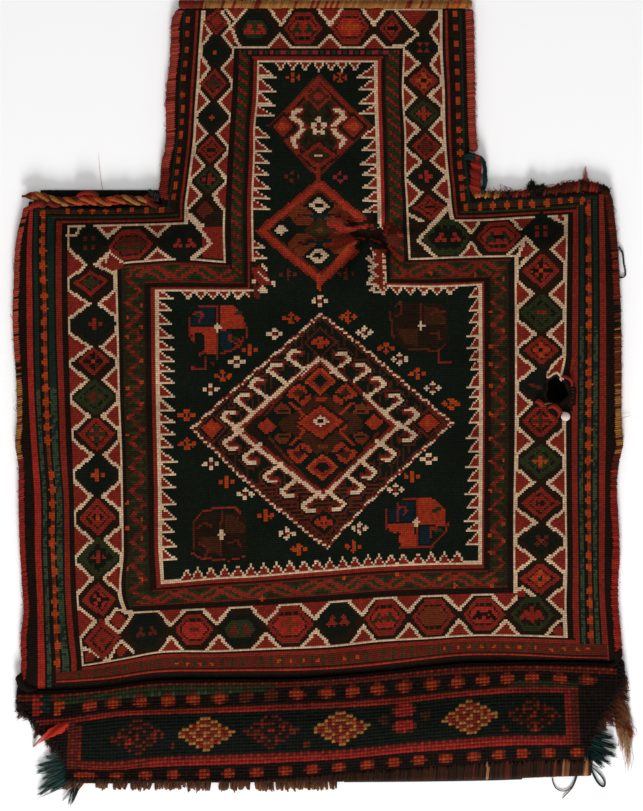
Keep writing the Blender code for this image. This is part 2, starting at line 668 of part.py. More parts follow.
def mend_knot(cotton):
    """Small ball of white cotton knotted on the front below the hole."""
    x = BODY_WIDTH / 2 - HOLE_FROM_RIGHT + KNOT_RIGHT_OF_HOLE
    y = HOLE_ABOVE_MIDDLE - KNOT_BELOW_HOLE
    spot = np.array([x])
    low = float(front_underside(spot, np.array([y]))[0])
    radius = KNOT_DIAMETER / 2
    centre = (x, y, low + FRONT_THICKNESS + KNOT_GAP + radius)
    bpy.ops.mesh.primitive_ico_sphere_add(subdivisions=2, radius=radius, location=centre)
    knot = bpy.context.active_object
    knot.name = "mend_knot"
    knot.data.shade_smooth()
    knot.data.materials.append(cotton)
    return knot


def main():
    clear_scene()
    red = finish("red wool binding", (0.18, 0.025, 0.018))
    black = finish("black wool binding", (0.012, 0.010, 0.010))
    gold = finish("gold wool overcasting", (0.33, 0.14, 0.03))
    weave = finish("patterned weave", (0.10, 0.03, 0.02))
    dark = finish("dark back weave", (0.015, 0.022, 0.02))
    wrap = finish("blue-black wrapping", (0.012, 0.03, 0.035))
    brown = finish("brown goat hair", (0.06, 0.025, 0.012))
    teal = finish("teal wool", (0.02, 0.06, 0.055))
    cotton = finish("white cotton", (0.62, 0.50, 0.46))
    back_panel(dark)
    front_panel(weave)
    side_bindings(red, black)
    neck_bindings(red, wrap)
    mouth_bindings(gold, dark)
    shoulder_pieces(gold, red, black)
    foot_binding(brown)
    warp_fringe(brown)
    corner_trim(teal, brown, red)
    mend_knot(cotton)


main()
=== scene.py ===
import math

import bpy
import numpy as np
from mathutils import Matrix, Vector


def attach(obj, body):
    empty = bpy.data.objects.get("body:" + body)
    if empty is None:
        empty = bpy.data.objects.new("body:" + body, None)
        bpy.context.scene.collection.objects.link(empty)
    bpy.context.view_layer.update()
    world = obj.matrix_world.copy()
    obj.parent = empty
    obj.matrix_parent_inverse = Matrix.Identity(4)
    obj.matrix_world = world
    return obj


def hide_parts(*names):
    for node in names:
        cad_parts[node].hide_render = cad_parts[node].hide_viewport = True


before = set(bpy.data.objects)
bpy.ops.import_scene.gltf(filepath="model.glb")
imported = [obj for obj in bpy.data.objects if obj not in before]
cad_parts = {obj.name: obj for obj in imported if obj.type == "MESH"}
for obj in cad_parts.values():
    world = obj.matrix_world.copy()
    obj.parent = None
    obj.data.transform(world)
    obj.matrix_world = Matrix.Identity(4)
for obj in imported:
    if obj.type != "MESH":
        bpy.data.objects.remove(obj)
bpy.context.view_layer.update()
tau = 2 * math.pi

# The pattern is drawn on squares 0.68 mm wide. Column 319 is the bag's middle and row 486 its mid height.
drawing = {
    "square": 0.00068,
    "midColumn": 319,
    "midRow": 486,
    "dyeDepth": 0.72,
}


# x of a drawing column: (column - middle) * square
def toX(column):
    return (np.asarray(column, float) - drawing["midColumn"]) * drawing["square"]


# y of a drawing row: (middle - row) * square, as rows count downwards
def toY(row):
    return (drawing["midRow"] - np.asarray(row, float)) * drawing["square"]


# SHADER PARTS


# One node socket that takes part in sums: a + b, 1 - a and a * b each add a Math node
class Wire:
    def __init__(self, tree, socket):
        self.tree = tree
        self.socket = socket

    # a node of the type, with its settings set first and then its inputs as values or wires
    def node(self, kind, settings=None, output=0, **inputs):
        made = self.tree.nodes.new("ShaderNode" + kind)
        for name, value in (settings or {}).items():
            setattr(made, name, value)
        for name, value in inputs.items():
            place = made.inputs[int(name[1:])] if name[0] == "i" and name[1:].isdigit() else made.inputs[name]
            if isinstance(value, Wire):
                self.tree.links.new(value.socket, place)
            else:
                place.default_value = value
        return Wire(self.tree, made.outputs[output])

    def sum(self, operation, first, second=0.0):
        return self.node("Math", {"operation": operation}, i0=first, i1=second)

    def __add__(self, other):
        return self.sum("ADD", self, other)

    __radd__ = __add__

    def __mul__(self, other):
        return self.sum("MULTIPLY", self, other)

    __rmul__ = __mul__

    def __sub__(self, other):
        return self.sum("SUBTRACT", self, other)

    def __rsub__(self, other):
        return self.sum("SUBTRACT", other, self)

    def __pow__(self, other):
        return self.sum("POWER", self, other)

    def sine(self):
        return self.sum("SINE", self)

    def size(self):
        return self.sum("ABSOLUTE", self)

    def whole(self):
        return self.sum("FLOOR", self)

    # one channel of a vector
    def part(self, channel):
        return self.node("SeparateXYZ", output="XYZ".index(channel), i0=self)

    # colour times a grey
    def shade(self, grey):
        return self.node("VectorMath", {"operation": "SCALE"}, Scale=grey, i0=self)


# sRGB in 0 to 255 to the linear colour that shaders take
def linear(colour):
    share = np.asarray(colour, float) / 255
    return np.where(share <= 0.04045, share / 12.92, ((share + 0.055) / 1.055) ** 2.4)


# A wool or cotton finish. The colour is the piece's own "wool" attribute; threads is how many threads cross
# the piece's UV map each way, and each thread is a rounded ridge with finer fibres along it; painted shade
# darkens the colour in the grooves between the ridges.
def yarnFinish(name, threads, settings):
    finish = bpy.data.materials.new(name)
    finish.use_nodes = True
    tree = finish.node_tree
    shader = tree.nodes["Principled BSDF"]
    start = Wire(tree, None)
    dyed = start.node("VertexColor", {"layer_name": "wool"})
    place = start.node("UVMap", {"uv_map": "weave"})
    along = place.part("X") * threads[0]
    across = place.part("Y") * threads[1]
    cell = start.node("CombineXYZ", X=along.whole(), Y=across.whole())
    each = start.node("TexWhiteNoise", {"noise_dimensions": "2D"}, Vector=cell)
    solid = start.node("TexCoord", output=3)
    fibre = start.node("TexNoise", Vector=solid, Scale=settings["fibreScale"], Detail=3.0, Roughness=0.6)
    patch = start.node("TexNoise", Vector=solid, Scale=settings["patchScale"], Detail=2.0)
    ridge = ((along * math.pi).sine().size() ** 0.5) * ((across * math.pi).sine().size() ** 0.5)
    # painted shade: threadShade darkens the Base Color in the grooves between the thread ridges
    grey = 1.0 - settings["threadShade"] * (1.0 - ridge)
    grey = grey * (1.0 - settings["stitchVary"] + 2 * settings["stitchVary"] * each)
    grey = grey * (1.0 - settings["fibreVary"] + 2 * settings["fibreVary"] * fibre)
    grey = grey * (1.0 - settings["patchVary"] + 2 * settings["patchVary"] * patch)
    tree.links.new(dyed.shade(grey).socket, shader.inputs["Base Color"])
    rough = settings["roughness"] - 0.12 * fibre
    tree.links.new(rough.socket, shader.inputs["Roughness"])
    lift = ridge + settings["fibreLift"] * fibre
    bump = start.node("Bump", Strength=settings["bump"], Distance=settings["bumpDepth"], Height=lift)
    tree.links.new(bump.socket, shader.inputs["Normal"])
    shader.inputs["Sheen Weight"].default_value = settings["sheen"]
    shader.inputs["Sheen Roughness"].default_value = 0.5
    shader.inputs["Specular IOR Level"].default_value = 0.03
    return finish


# MESH PARTS


# A mesh from points, faces and one colour for each face corner; places holds the UV of each face corner
def addPiece(name, points, faces, colours, places, finish):
    mesh = bpy.data.meshes.new(name)
    mesh.from_pydata(np.asarray(points).tolist(), [], faces)
    wool = mesh.color_attributes.new("wool", "FLOAT_COLOR", "CORNER")
    shown = np.ones((len(mesh.loops), 4), np.float32)
    shown[:, :3] = colours
    wool.data.foreach_set("color", shown.ravel())
    weave = mesh.uv_layers.new(name="weave")
    weave.data.foreach_set("uv", np.asarray(places, np.float32).ravel())
    mesh.polygons.foreach_set("use_smooth", np.full(len(mesh.polygons), True))
    mesh.materials.append(finish)
    mesh.update()
    made = bpy.data.objects.new(name, mesh)
    bpy.context.scene.collection.objects.link(made)
    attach(made, "root")
    return made


# Values read off stations (place, value): between two stations a cubic that keeps the slope at each
def stations(places, table):
    steps = np.array(table, float)
    slopes = np.gradient(steps[:, 1], steps[:, 0])
    t = np.clip(places, steps[0, 0], steps[-1, 0])
    low = np.clip(np.searchsorted(steps[:, 0], t, side="right") - 1, 0, len(steps) - 2)
    gap = steps[low + 1, 0] - steps[low, 0]
    s = (t - steps[low, 0]) / gap
    start = steps[low, 1] * (1 + 2 * s) * (1 - s) ** 2 + gap * slopes[low] * s * (1 - s) ** 2
    end = steps[low + 1, 1] * s**2 * (3 - 2 * s) + gap * slopes[low + 1] * s**2 * (s - 1)
    return start + end


# 0 to 1 with level ends: s * s * (3 - 2 s)
def easeIn(share):
    s = np.clip(share, 0.0, 1.0)
    return s * s * (3 - 2 * s)


# THE LIE OF THE WEAVE
# Warps and wefts run straight in the drawing and wander in the cloth. Each line below is one warp or weft:
# its place in the drawing, then where it lies: (row, column) stations for a warp, (column, row) for a weft.
lie = {
    "warps": [
        (19, [(197, 29), (215, 26), (230, 22), (250, 19.5), (300, 17.5), (340, 18), (400, 20), (450, 20.5),
              (500, 22.5), (551, 24), (600, 27), (640, 26), (690, 24)]),
        (31.5, [(205, 30.5), (250, 29), (300, 29.2), (350, 29.7), (410, 31.8), (450, 34.7), (500, 37.9),
                (551, 38.2), (600, 40), (660, 41.5)]),
        (46.5, [(205, 43), (266, 43), (300, 44.5), (362, 45.5), (415, 47), (450, 48.5), (500, 52.7),
                (551, 52.8), (600, 55), (640, 56.2), (660, 58)]),
        (59.5, [(205, 57.5), (300, 57), (350, 58), (410, 60.4), (450, 61.5), (500, 65), (551, 65.7),
                (600, 66.6), (640, 70), (660, 72.6)]),
        (71.5, [(205, 68.5), (300, 69), (350, 70), (400, 71.5), (450, 73.5), (500, 75), (551, 76),
                (600, 78), (640, 81), (663, 83), (690, 83)]),
        (118.5, [(205, 115), (268, 115.5), (330, 117), (400, 118.5), (450, 120.5), (500, 121.5), (551, 122.2),
                 (600, 121.5), (612, 126), (690, 127)]),
        (158, [(205, 157), (295, 157), (400, 158), (500, 160), (551, 160.5), (583, 163), (690, 164)]),
        (162.3, [(9, 178), (40, 178), (60, 176.5), (100, 175.5), (130, 174), (150, 171), (180, 167),
                 (197, 163), (295, 161.5), (400, 162.3), (690, 168)]),
        (176, [(9, 188), (20, 187), (50, 186), (64, 184.5), (82, 182.5), (109, 182), (122, 181), (135, 180),
               (150, 178.5), (160, 177.5), (173, 176), (186, 175), (197, 173), (225, 175), (300, 176),
               (690, 181)]),
        (188, [(9, 204), (20, 203.5), (50, 201), (80, 199.5), (110, 197), (140, 195.5), (160, 193),
               (190, 189), (205, 187), (224, 186), (300, 188), (690, 192)]),
        (225, [(9, 236), (55, 233), (80, 232), (100, 231), (130, 229), (150, 227.5), (200, 225), (230, 224),
               (262, 225), (400, 225), (690, 229)]),
        (252.5, [(9, 258), (65, 258), (100, 257), (130, 254), (150, 254), (200, 252), (250, 252.5),
                 (400, 252.5), (690, 257)]),
        (319, [(9, 318), (285, 318), (315, 320), (421, 321), (497, 323), (546, 326), (690, 328)]),
        (379, [(9, 376), (100, 376), (130, 377), (160, 378), (200, 379), (260, 380), (290, 381), (400, 380.5),
               (690, 383)]),
        (410.5, [(9, 405), (60, 404), (90, 403), (135, 405.5), (180, 406), (200, 408), (240, 411), (262, 411),
                 (690, 412)]),
        (451, [(9, 440), (55, 440), (87, 442), (131, 443), (164, 445.5), (186, 448), (214, 451), (222, 453),
               (300, 452), (690, 451)]),
        (463, [(9, 455), (45, 457), (116, 459), (165, 460), (197, 463), (690, 463)]),
        (472.7, [(9, 465), (50, 466), (100, 467), (130, 468), (160, 470), (190, 474), (220, 474), (690, 472)]),
        (480, [(205, 479), (285, 479), (400, 479.8), (562, 479), (690, 479)]),
        (516.5, [(205, 516), (454, 516), (503, 515), (593, 515), (690, 515)]),
        (564, [(205, 566), (300, 564), (420, 563.3), (503, 564), (576, 564.5), (600, 563.7), (640, 565),
               (690, 566)]),
        (589.8, [(205, 588), (300, 589), (400, 588.5), (500, 588), (600, 590), (640, 591), (690, 592)]),
        (604, [(205, 603), (300, 603.7), (500, 603), (600, 603), (640, 606), (690, 609)]),
        (616, [(194, 604), (205, 607), (230, 611), (250, 613), (300, 615.5), (360, 616.5), (447, 616.5),
               (466, 614.5), (551, 614.5), (600, 613.5), (649, 617), (690, 619)]),
    ],
    "wefts": [
        (9, [(160, 9), (480, 9)]),
        (48.5, [(160, 48.5), (480, 48.5)]),
        (127, [(160, 127), (480, 127)]),
        (201, [(20, 206), (150, 206), (175, 202), (320, 201), (470, 200), (490, 196.5), (540, 194.5),
               (610, 192.5)]),
        (209, [(20, 211.5), (162, 211), (185, 209.5), (320, 209), (455, 207.5), (507, 205.5), (547, 203),
               (582, 200), (615, 199)]),
        (222, [(20, 227.5), (68, 227), (110, 226), (185, 224), (225, 222), (430, 221), (487, 220.5),
               (518, 218.5), (566, 216), (615, 214)]),
        (261, [(20, 269), (115, 267), (122, 264.5), (150, 261), (185, 259), (225, 262), (320, 261),
               (411, 260), (440, 258), (517, 256), (615, 254)]),
        (289, [(20, 294), (157, 291), (240, 291), (320, 289), (381, 287), (432, 287), (479, 285), (615, 284)]),
        (428, [(20, 431), (192, 429), (320, 427), (452, 424), (615, 423)]),
        (570, [(20, 586), (163, 582), (220, 577), (250, 575.5), (300, 571), (330, 568.5), (360, 566),
               (400, 564), (430, 563), (479, 562.5), (615, 562)]),
        (602, [(20, 620), (80, 616), (126, 612), (170, 610), (243, 606.5), (300, 603), (330, 601), (373, 598),
               (446, 595), (514, 593.5), (615, 592)]),
        (645, [(20, 670), (83, 663), (115, 657.5), (146, 652), (219, 650), (260, 648), (330, 644.5),
               (373, 640), (430, 637), (470, 634.5), (520, 634.5), (566, 636), (615, 637)]),
        (667, [(25, 682), (60, 680), (100, 677), (147, 671), (220, 669.5), (300, 668.5), (350, 665.5),
               (400, 660.5), (430, 657), (453, 654.5), (500, 653.5), (575, 657), (615, 658)]),
        (674, [(15, 689), (60, 688), (100, 685.5), (147, 678.5), (220, 676.5), (300, 676), (350, 672),
               (400, 667.5), (430, 664), (453, 661.5), (500, 660), (606, 661), (620, 662)]),
    ],
}


# Each value is worked out on every line and mixed between the two lines beside it
def betweenLines(lines, order, along):
    places = np.array([line[0] for line in lines], float)
    values = np.stack([stations(along, line[1]) for line in lines])
    low = np.clip(np.searchsorted(places, order, side="right") - 1, 0, len(places) - 2)
    share = (order - places[low]) / (places[low + 1] - places[low])
    under = np.take_along_axis(values, low[None], 0)[0]
    over = np.take_along_axis(values, low[None] + 1, 0)[0]
    return under + (over - under) * share


# Where a drawing place lies in the cloth, in squares: its row on the wefts, then its column on the warps
def layOut(column, row, lines=lie):
    column, row = np.broadcast_arrays(np.asarray(column, float), np.asarray(row, float))
    seenRow = betweenLines(lines["wefts"], row, column)
    return betweenLines(lines["warps"], column, seenRow), seenRow


# The drawing place that lies at a given place in the cloth: the guess is moved by what it misses
def inDrawing(column, row, lines=lie):
    c = np.atleast_1d(np.asarray(column, float))
    r = np.atleast_1d(np.asarray(row, float))
    goal = (c.copy(), r.copy())
    for _ in range(6):
        x, y = layOut(c, r, lines)
        c = c + goal[0] - x
        r = r + goal[1] - y
    return c, r


# The drawing place of one place in the cloth, as two plain numbers
def onePlace(column, row, lines=lie):
    c, r = inDrawing(column, row, lines)
    return float(c[0]), float(r[0])


# THE DRAWING

dyes = {
    "night": (16, 22, 14),
    "umber": (34, 21, 10),
    "black": (26, 16, 10),
    "madder": (122, 35, 23),
    "bright": (150, 38, 28),
    "dull": (86, 31, 18),
    "flame": (160, 58, 20),
    "ivory": (208, 174, 140),
    "bottle": (40, 46, 22),
    "teal": (22, 40, 32),
    "moss": (50, 64, 44),
    "rust": (104, 44, 20),
    "ember": (150, 46, 24),
    "sepia": (60, 31, 15),
    "blue": (16, 32, 38),
    "olive": (38, 32, 15),
    "gold": (158, 102, 50),
    "amber": (164, 78, 32),
    "pink": (128, 36, 44),
    "hair": (52, 27, 18),
    "tan": (158, 112, 70),
    "tealWool": (24, 50, 48),
    "tealTip": (74, 96, 88),
    "rag": (168, 40, 28),
    "ragPale": (222, 150, 136),
    "cotton": (232, 212, 204),
    "soil": (92, 44, 24),
    "clump": (112, 70, 42),
    "rose": (172, 66, 50),
}
dyeNames = list(dyes)
dyeTable = linear(np.array(list(dyes.values()))) * drawing["dyeDepth"]


# A grid of stitches with one dye each; c and r hold the drawing place of every stitch's middle
class Drawing:
    def __init__(self, columns, rows, ground, lines=lie):
        self.c, self.r = np.meshgrid(columns, rows)
        self.lines = lines
        self.dye = np.full(self.c.shape, dyeNames.index(ground))

    def paint(self, dye, where):
        self.dye[where] = dyeNames.index(dye)

    def box(self, c0, c1, r0, r1):
        return (self.c >= c0) & (self.c < c1) & (self.r >= r0) & (self.r < r1)

    # distance from a run of straight strokes
    def away(self, points):
        least = np.full(self.c.shape, 1e9)
        for (c0, r0), (c1, r1) in zip(points, points[1:]):
            span = (c1 - c0) ** 2 + (r1 - r0) ** 2
            t = np.clip(((self.c - c0) * (c1 - c0) + (self.r - r0) * (r1 - r0)) / max(span, 1e-9), 0, 1)
            least = np.minimum(least, np.hypot(self.c - c0 - t * (c1 - c0), self.r - r0 - t * (r1 - r0)))
        return least

    # points as seen in the cloth, taken back to the drawing
    def stroke(self, dye, points, width, clip=None):
        c, r = inDrawing([p[0] for p in points], [p[1] for p in points], self.lines)
        where = self.away(list(zip(c, r))) < width / 2
        self.paint(dye, where if clip is None else where & clip)

    # a filled shape: a square is inside where a level line from it crosses the outline an odd number of times
    def patch(self, dye, points):
        c, r = inDrawing([p[0] for p in points], [p[1] for p in points], self.lines)
        inside = np.zeros(self.c.shape, bool)
        for c0, r0, c1, r1 in zip(c, r, np.roll(c, -1), np.roll(r, -1)):
            crosses = (r0 > self.r) != (r1 > self.r)
            inside ^= crosses & (self.c < (c1 - c0) * (self.r - r0) / (r1 - r0 + 1e-9) + c0)
        self.paint(dye, inside)

    # |dc| past the flat over the half width, plus |dr| over the half height: 1 on the outline
    def hexagon(self, c, r, halfWidth, halfHeight, flat=0.0):
        side = np.maximum(np.abs(self.c - c) - flat, 0) / (halfWidth - flat)
        return side + np.abs(self.r - r) / halfHeight

    # marks about a middle, mirrored where side or way is -1: each is a dye, a width and its points, drawn as
    # a stroke of that width, or as a filled shape where the width is 0
    def forms(self, marks, middle=(0, 0), side=1, way=1):
        for dye, width, points in marks:
            places = [(middle[0] + side * dc, middle[1] + way * dr) for dc, dr in points]
            if width:
                self.stroke(dye, places, width)
            else:
                self.patch(dye, places)

    # round spots, or ovals where tall isn't 1; seen tells that the places are given as they lie in the cloth
    def spots(self, dye, places, reach, tall=1.0, seen=True):
        c, r = np.array(places, float).T
        if seen:
            c, r = inDrawing(c, r, self.lines)
        for column, row in zip(c, r):
            self.paint(dye, np.hypot(self.c - column, (self.r - row) / tall) < reach)


# THE FRONT'S PATTERN

front = {
    "columns": (19.0, 616.0, 300),  # first and last drawing column, and the stitches between them
    "mouthRow": 9.0,
    "shoulderRow": 201.0,
    "grooveRow": 674.0,
    "groove": (669, 5, 0.0012),  # row where the cloth sinks to the band, over how many rows, how deep
    "neckStitches": 96,
    "bodyStitches": 240,
    "cell": 6,  # stitches to each side of an underside face
    "neckCells": (12, 38),
    "holeCells": (45, 46, 15, 17),  # cells left out, columns then rows of the body
}
stitchColumns = np.linspace(front["columns"][0], front["columns"][1], front["columns"][2] + 1)
stitchRows = np.concatenate([
    np.linspace(front["mouthRow"], front["shoulderRow"], front["neckStitches"] + 1)[:-1],
    np.linspace(front["shoulderRow"], front["grooveRow"], front["bodyStitches"] + 1),
])
cloth = Drawing((stitchColumns[1:] + stitchColumns[:-1]) / 2, (stitchRows[1:] + stitchRows[:-1]) / 2, "night")
C, R = cloth.c, cloth.r

# The borders are told apart by two shares. outer runs from 0 on the outer white line to 1 on the inner one,
# and inner from 0 there to 1 on the white frame of the field.
borders = {
    "outer": {"left": 71.5, "right": 564, "foot": 645, "shoulder": 222, "neckLeft": 188, "neckRight": 451,
              "top": 9},
    "inner": {"left": 118.5, "right": 516.5, "foot": 602, "shoulder": 261, "neckLeft": 225,
              "neckRight": 410.5, "top": 48.5},
    "field": {"left": 158, "right": 480, "foot": 570, "shoulder": 289, "neckLeft": 252.5, "neckRight": 379,
              "top": 61.5},
}


# Share of the way from one outline to the next: along each side it is distance over the side's width. The
# sides meet by the least share at outward corners and by the greatest where the neck opens.
def shareBetween(a, b):
    left = (C - a["left"]) / (b["left"] - a["left"])
    right = (a["right"] - C) / (a["right"] - b["right"])
    foot = (a["foot"] - R) / (a["foot"] - b["foot"])
    shoulder = (R - a["shoulder"]) / (b["shoulder"] - a["shoulder"])
    neckLeft = (C - a["neckLeft"]) / (b["neckLeft"] - a["neckLeft"])
    neckRight = (a["neckRight"] - C) / (a["neckRight"] - b["neckRight"])
    top = (R - a["top"]) / (b["top"] - a["top"])
    sides = np.stack([left, right, foot, np.maximum(shoulder, neckLeft), np.maximum(shoulder, neckRight), top])
    nearest = sides.argmin(axis=0)
    upright = (nearest == 3) & (neckLeft > shoulder) | (nearest == 4) & (neckRight > shoulder)
    return sides.min(axis=0), nearest, upright


outer = shareBetween(borders["outer"], borders["inner"])[0]
inner, innerSide, innerUpright = shareBetween(borders["inner"], borders["field"])


# Bands side by side in a mask. A run is a dye and where it ends; the next run starts there.
def bandsAcross(where, distance, start, runs):
    for dye, end in runs:
        cloth.paint(dye, where & (distance >= start) & (distance < end))
        start = end


# Bands of the inner border, as shares of the way in from the white line
innerBands = {
    "left": [("black", .17), ("olive", .70), ("black", .85), ("madder", .955)],
    "right": [("black", .24), ("olive", .73), ("black", .86), ("madder", .96)],
    "foot": [("black", .2), ("olive", .75), ("black", .845), ("madder", .955)],
    "shoulder": [("black", .08), ("olive", .75), ("black", .87), ("madder", .955)],
    "neckLeft": [("black", .22), ("olive", .66), ("black", .84), ("madder", .945)],
    "neckRight": [("black", .17), ("olive", .67), ("black", .79), ("bright", .945)],
    "top": [("black", .72), ("madder", .94)],
}
sideMasks = {
    "left": innerSide == 0,
    "right": innerSide == 1,
    "foot": innerSide == 2,
    "neckLeft": (innerSide == 3) & innerUpright,
    "neckRight": (innerSide == 4) & innerUpright,
    "shoulder": ((innerSide == 3) | (innerSide == 4)) & ~innerUpright,
    "top": innerSide == 5,
}
for side, bands in innerBands.items():
    bandsAcross(sideMasks[side], inner, 0, bands)

# Upright parts of the inner border carry a wandering vine with green leaves and dots in its bends
vine = {"pitch": 23.0, "swing": .33, "width": .14, "leaf": .2}
for side, low, high in (("left", .18, .70), ("right", .25, .73)):
    across = (inner - low) / (high - low)
    turn = (R - 289) / vine["pitch"] + (0.25 if side == "right" else 0.0)
    swing = np.abs((turn % 1) * 2 - 1)
    path = .5 + vine["swing"] * (2 * swing - 1)
    here = sideMasks[side] & (across > 0) & (across < 1)
    leaf = np.abs(((turn * 2) % 1) - .5) < .3
    cloth.paint("bottle", here & leaf & (np.abs(across - (1 - path)) < vine["leaf"]))
    cloth.paint("dull", here & (np.abs(across - path) < vine["width"]))
    cloth.paint("madder", here & (np.abs(across - path) < vine["width"])
                & (np.sin(R * .9 + side.count("g")) > .1))
    cloth.paint("dull", here & (np.abs(((turn * 2) % 1) - .5) < .1) & (np.abs(across - (1 - path)) < .2))
for column, rows in ((128, (317, 337, 388, 417, 435, 503, 528, 568)),
                     (142, (305, 327, 361, 382, 403, 518, 538, 578)),
                     (490, (312, 346, 364, 386, 414, 438, 461, 490, 509, 535, 552)),
                     (503, (280, 330, 380, 424, 460, 477, 523, 541))):
    cloth.spots("flame", [(column, row) for row in rows], 1.9)

# Neck sides: slanted red and green bars; shoulders and foot: long slanted leaves
slant = {"neckPitch": 11.0, "lean": .75, "leafPitch": 47.0}
for side, low, high in (("neckLeft", .22, .66), ("neckRight", .17, .67)):
    phase = ((R - slant["lean"] * C) / slant["neckPitch"]) % 1
    here = sideMasks[side] & (inner > low + .03) & (inner < high - .03)
    cloth.paint("bottle", here & (phase > .58) & (phase < .92))
    cloth.paint("dull", here & (phase < .48))
    cloth.paint("madder", here & (phase < .36) & (phase > .1) & (np.sin(C * 1.3 + R * .31) > -.3))
for side, low, high in (("foot", .2, .75), ("shoulder", .08, .75)):
    across = (inner - low) / (high - low)
    here = sideMasks[side] & (across > 0) & (across < 1)
    turn = (C - 320) / slant["leafPitch"]
    swing = np.abs((turn % 1) * 2 - 1)
    rising = np.abs(across - (.12 + .76 * swing))
    falling = np.abs(across - (.12 + .76 * np.abs(((turn + .3) % 1) * 2 - 1)))
    cloth.paint("bottle", here & ((rising < .3) | (falling < .24)) & (across > .16) & (across < .84))
    cloth.paint("madder", here & ((rising < .13) | (falling < .09)))
    cloth.paint("dull", here & ((across < .12) | (across > .88)))
cloth.spots("flame", [(262, 598), (344, 578), (397, 574), (440, 578), (455, 585), (492, 585), (475, 275),
                      (431, 273)], 2.2)

# Neck top: a dark strip of dim dots
here = sideMasks["top"] & (inner > .15) & (inner < .72)
cloth.paint("pink", here & (np.abs(((C - 262) / 12.2) % 1 - .5) < .2) & (np.abs(R - 53.8) < 2.2))
cloth.paint("bottle", here & (np.abs(((C - 256) / 12.2) % 1 - .5) < .2) & (np.abs(R - 53.8) < 2.0))

# The main border's ground, then the stripes outside it
cloth.paint("umber", (outer > 0) & (inner < 0))

# Stripes as distances out from the white line, in squares
stripes = {
    "left": [("black", 7.5), ("madder", 13), ("black", 15.6), ("teal", 19.8), ("black", 22.8), ("rust", 27.4),
             ("black", 30.2), ("teal", 34.4), ("black", 36.8), ("bright", 43.5), ("black", 60)],
    "right": [("black", 8), ("madder", 13.6), ("black", 16.4), ("teal", 20.2), ("black", 23.4), ("rust", 27.8),
              ("black", 31), ("teal", 34.6), ("black", 37), ("madder", 43), ("black", 60)],
    "shoulder": [("black", 3.4), ("madder", 6), ("black", 7.6), ("bottle", 9.6), ("black", 10.8),
                 ("sepia", 15.6), ("teal", 18), ("black", 30)],
    "neck": [("black", 3.4), ("madder", 6.6), ("black", 9), ("bottle", 10.4), ("umber", 15.8), ("teal", 18.2),
             ("black", 30)],
}
leftOut = borders["outer"]["left"] - C
rightOut = C - borders["outer"]["right"]
topOut = borders["outer"]["shoulder"] - R
neckLeftOut = borders["outer"]["neckLeft"] - C
neckRightOut = C - borders["outer"]["neckRight"]
shoulderLeft = (topOut > 0) & (neckLeftOut > 0) & (leftOut * .47 < topOut)
shoulderRight = (topOut > 0) & (neckRightOut > 0) & (rightOut * .5 < topOut)
besideLeft = (leftOut > 0) & ~shoulderLeft & (R > 180)
besideRight = (rightOut > 0) & ~shoulderRight & (R > 180)
besideNeckLeft = (neckLeftOut > 0) & (neckLeftOut < topOut) & ~besideLeft
besideNeckRight = (neckRightOut > 0) & (neckRightOut < topOut) & ~besideRight
for where, distance, start, place in (
        (shoulderLeft | shoulderRight, topOut, 1.5, "shoulder"), (besideNeckLeft, neckLeftOut, 1.5, "neck"),
        (besideNeckRight, neckRightOut, 1.5, "neck"), (besideLeft, leftOut, 1.5, "left"),
        (besideRight, rightOut, 1.7, "right")):
    bandsAcross(where, distance, start, stripes[place])
worn = np.sin(R * 2.1) + np.sin(R * .37 + C) + np.sin(R * .13)
greenLeft = besideLeft & (R > 384) & (
    (leftOut > 15.6) & (leftOut < 19.8) | (leftOut > 30.2) & (leftOut < 34.6))
greenRight = besideRight & (R > 331) & (
    (rightOut > 17) & (rightOut < 20.2) | (rightOut > 31) & (rightOut < 34.6))
cloth.paint("moss", (greenLeft | greenRight) & (worn > -.6))
cloth.paint("dull", (besideLeft | besideRight) & (cloth.dye == dyeNames.index("rust")) & (worn < -.4))

# Orange dots along the stripes, one row of the list for each stripe
stripeDots = {
    "reach": 3.3,
    "tall": 1.35,
    "columns": {
        46.5: (214, 228, 241, 251, 266, 280, 296, 308, 322, 336, 350, 362, 376, 388, 402, 415, 427, 440, 475,
               489, 503, 516, 530, 543, 557, 571, 589, 602, 613, 628, 645, 662),
        589.8: (210, 241, 258, 272, 288, 300, 312, 325, 338, 362, 372, 384, 402, 413, 430, 445, 460, 475, 487,
                500, 513, 525, 538, 555, 567, 590, 603, 620, 634, 648),
    },
}
for column, rows in stripeDots["columns"].items():
    seen = [(float(layOut(column, row)[0]), row) for row in rows]
    cloth.spots("flame", seen, stripeDots["reach"], stripeDots["tall"])
neckDots = [(187, 20), (186.5, 34), (186, 50), (184.5, 64), (182.5, 78), (182, 95), (182, 109), (181, 122),
            (180, 135), (178.5, 150), (177.5, 160), (176, 173), (175, 186), (173, 197),
            (455, 14), (456, 28), (457, 44), (457.3, 58), (457.8, 72), (458, 87), (458.5, 101), (459, 116),
            (459.3, 130), (459.6, 141), (460, 153), (460, 165), (461.5, 178), (462.5, 188), (463, 197)]
shoulderDots = [(68, 211), (81, 211), (93, 211), (106, 211), (119, 210), (132, 209.5), (147, 210), (162, 210),
                (466, 207), (480, 207), (493, 206), (507, 205), (520, 205), (532, 204), (547, 203), (560, 201),
                (571, 200), (582, 200)]
cloth.spots("flame", neckDots[::2] + shoulderDots, 2.7, 1.4)
cloth.spots("ember", neckDots[1::2], 2.6, 1.4)

# White lines: outer, inner and frame
lineWidths = {"outer": .034, "inner": .045, "field": .05}
cloth.paint("ivory", np.abs(outer) < lineWidths["outer"])
cloth.paint("ivory", np.abs(inner) < lineWidths["inner"])
cloth.paint("ivory", np.abs(inner - 1) < lineWidths["field"])
cloth.paint("umber", R < 11)


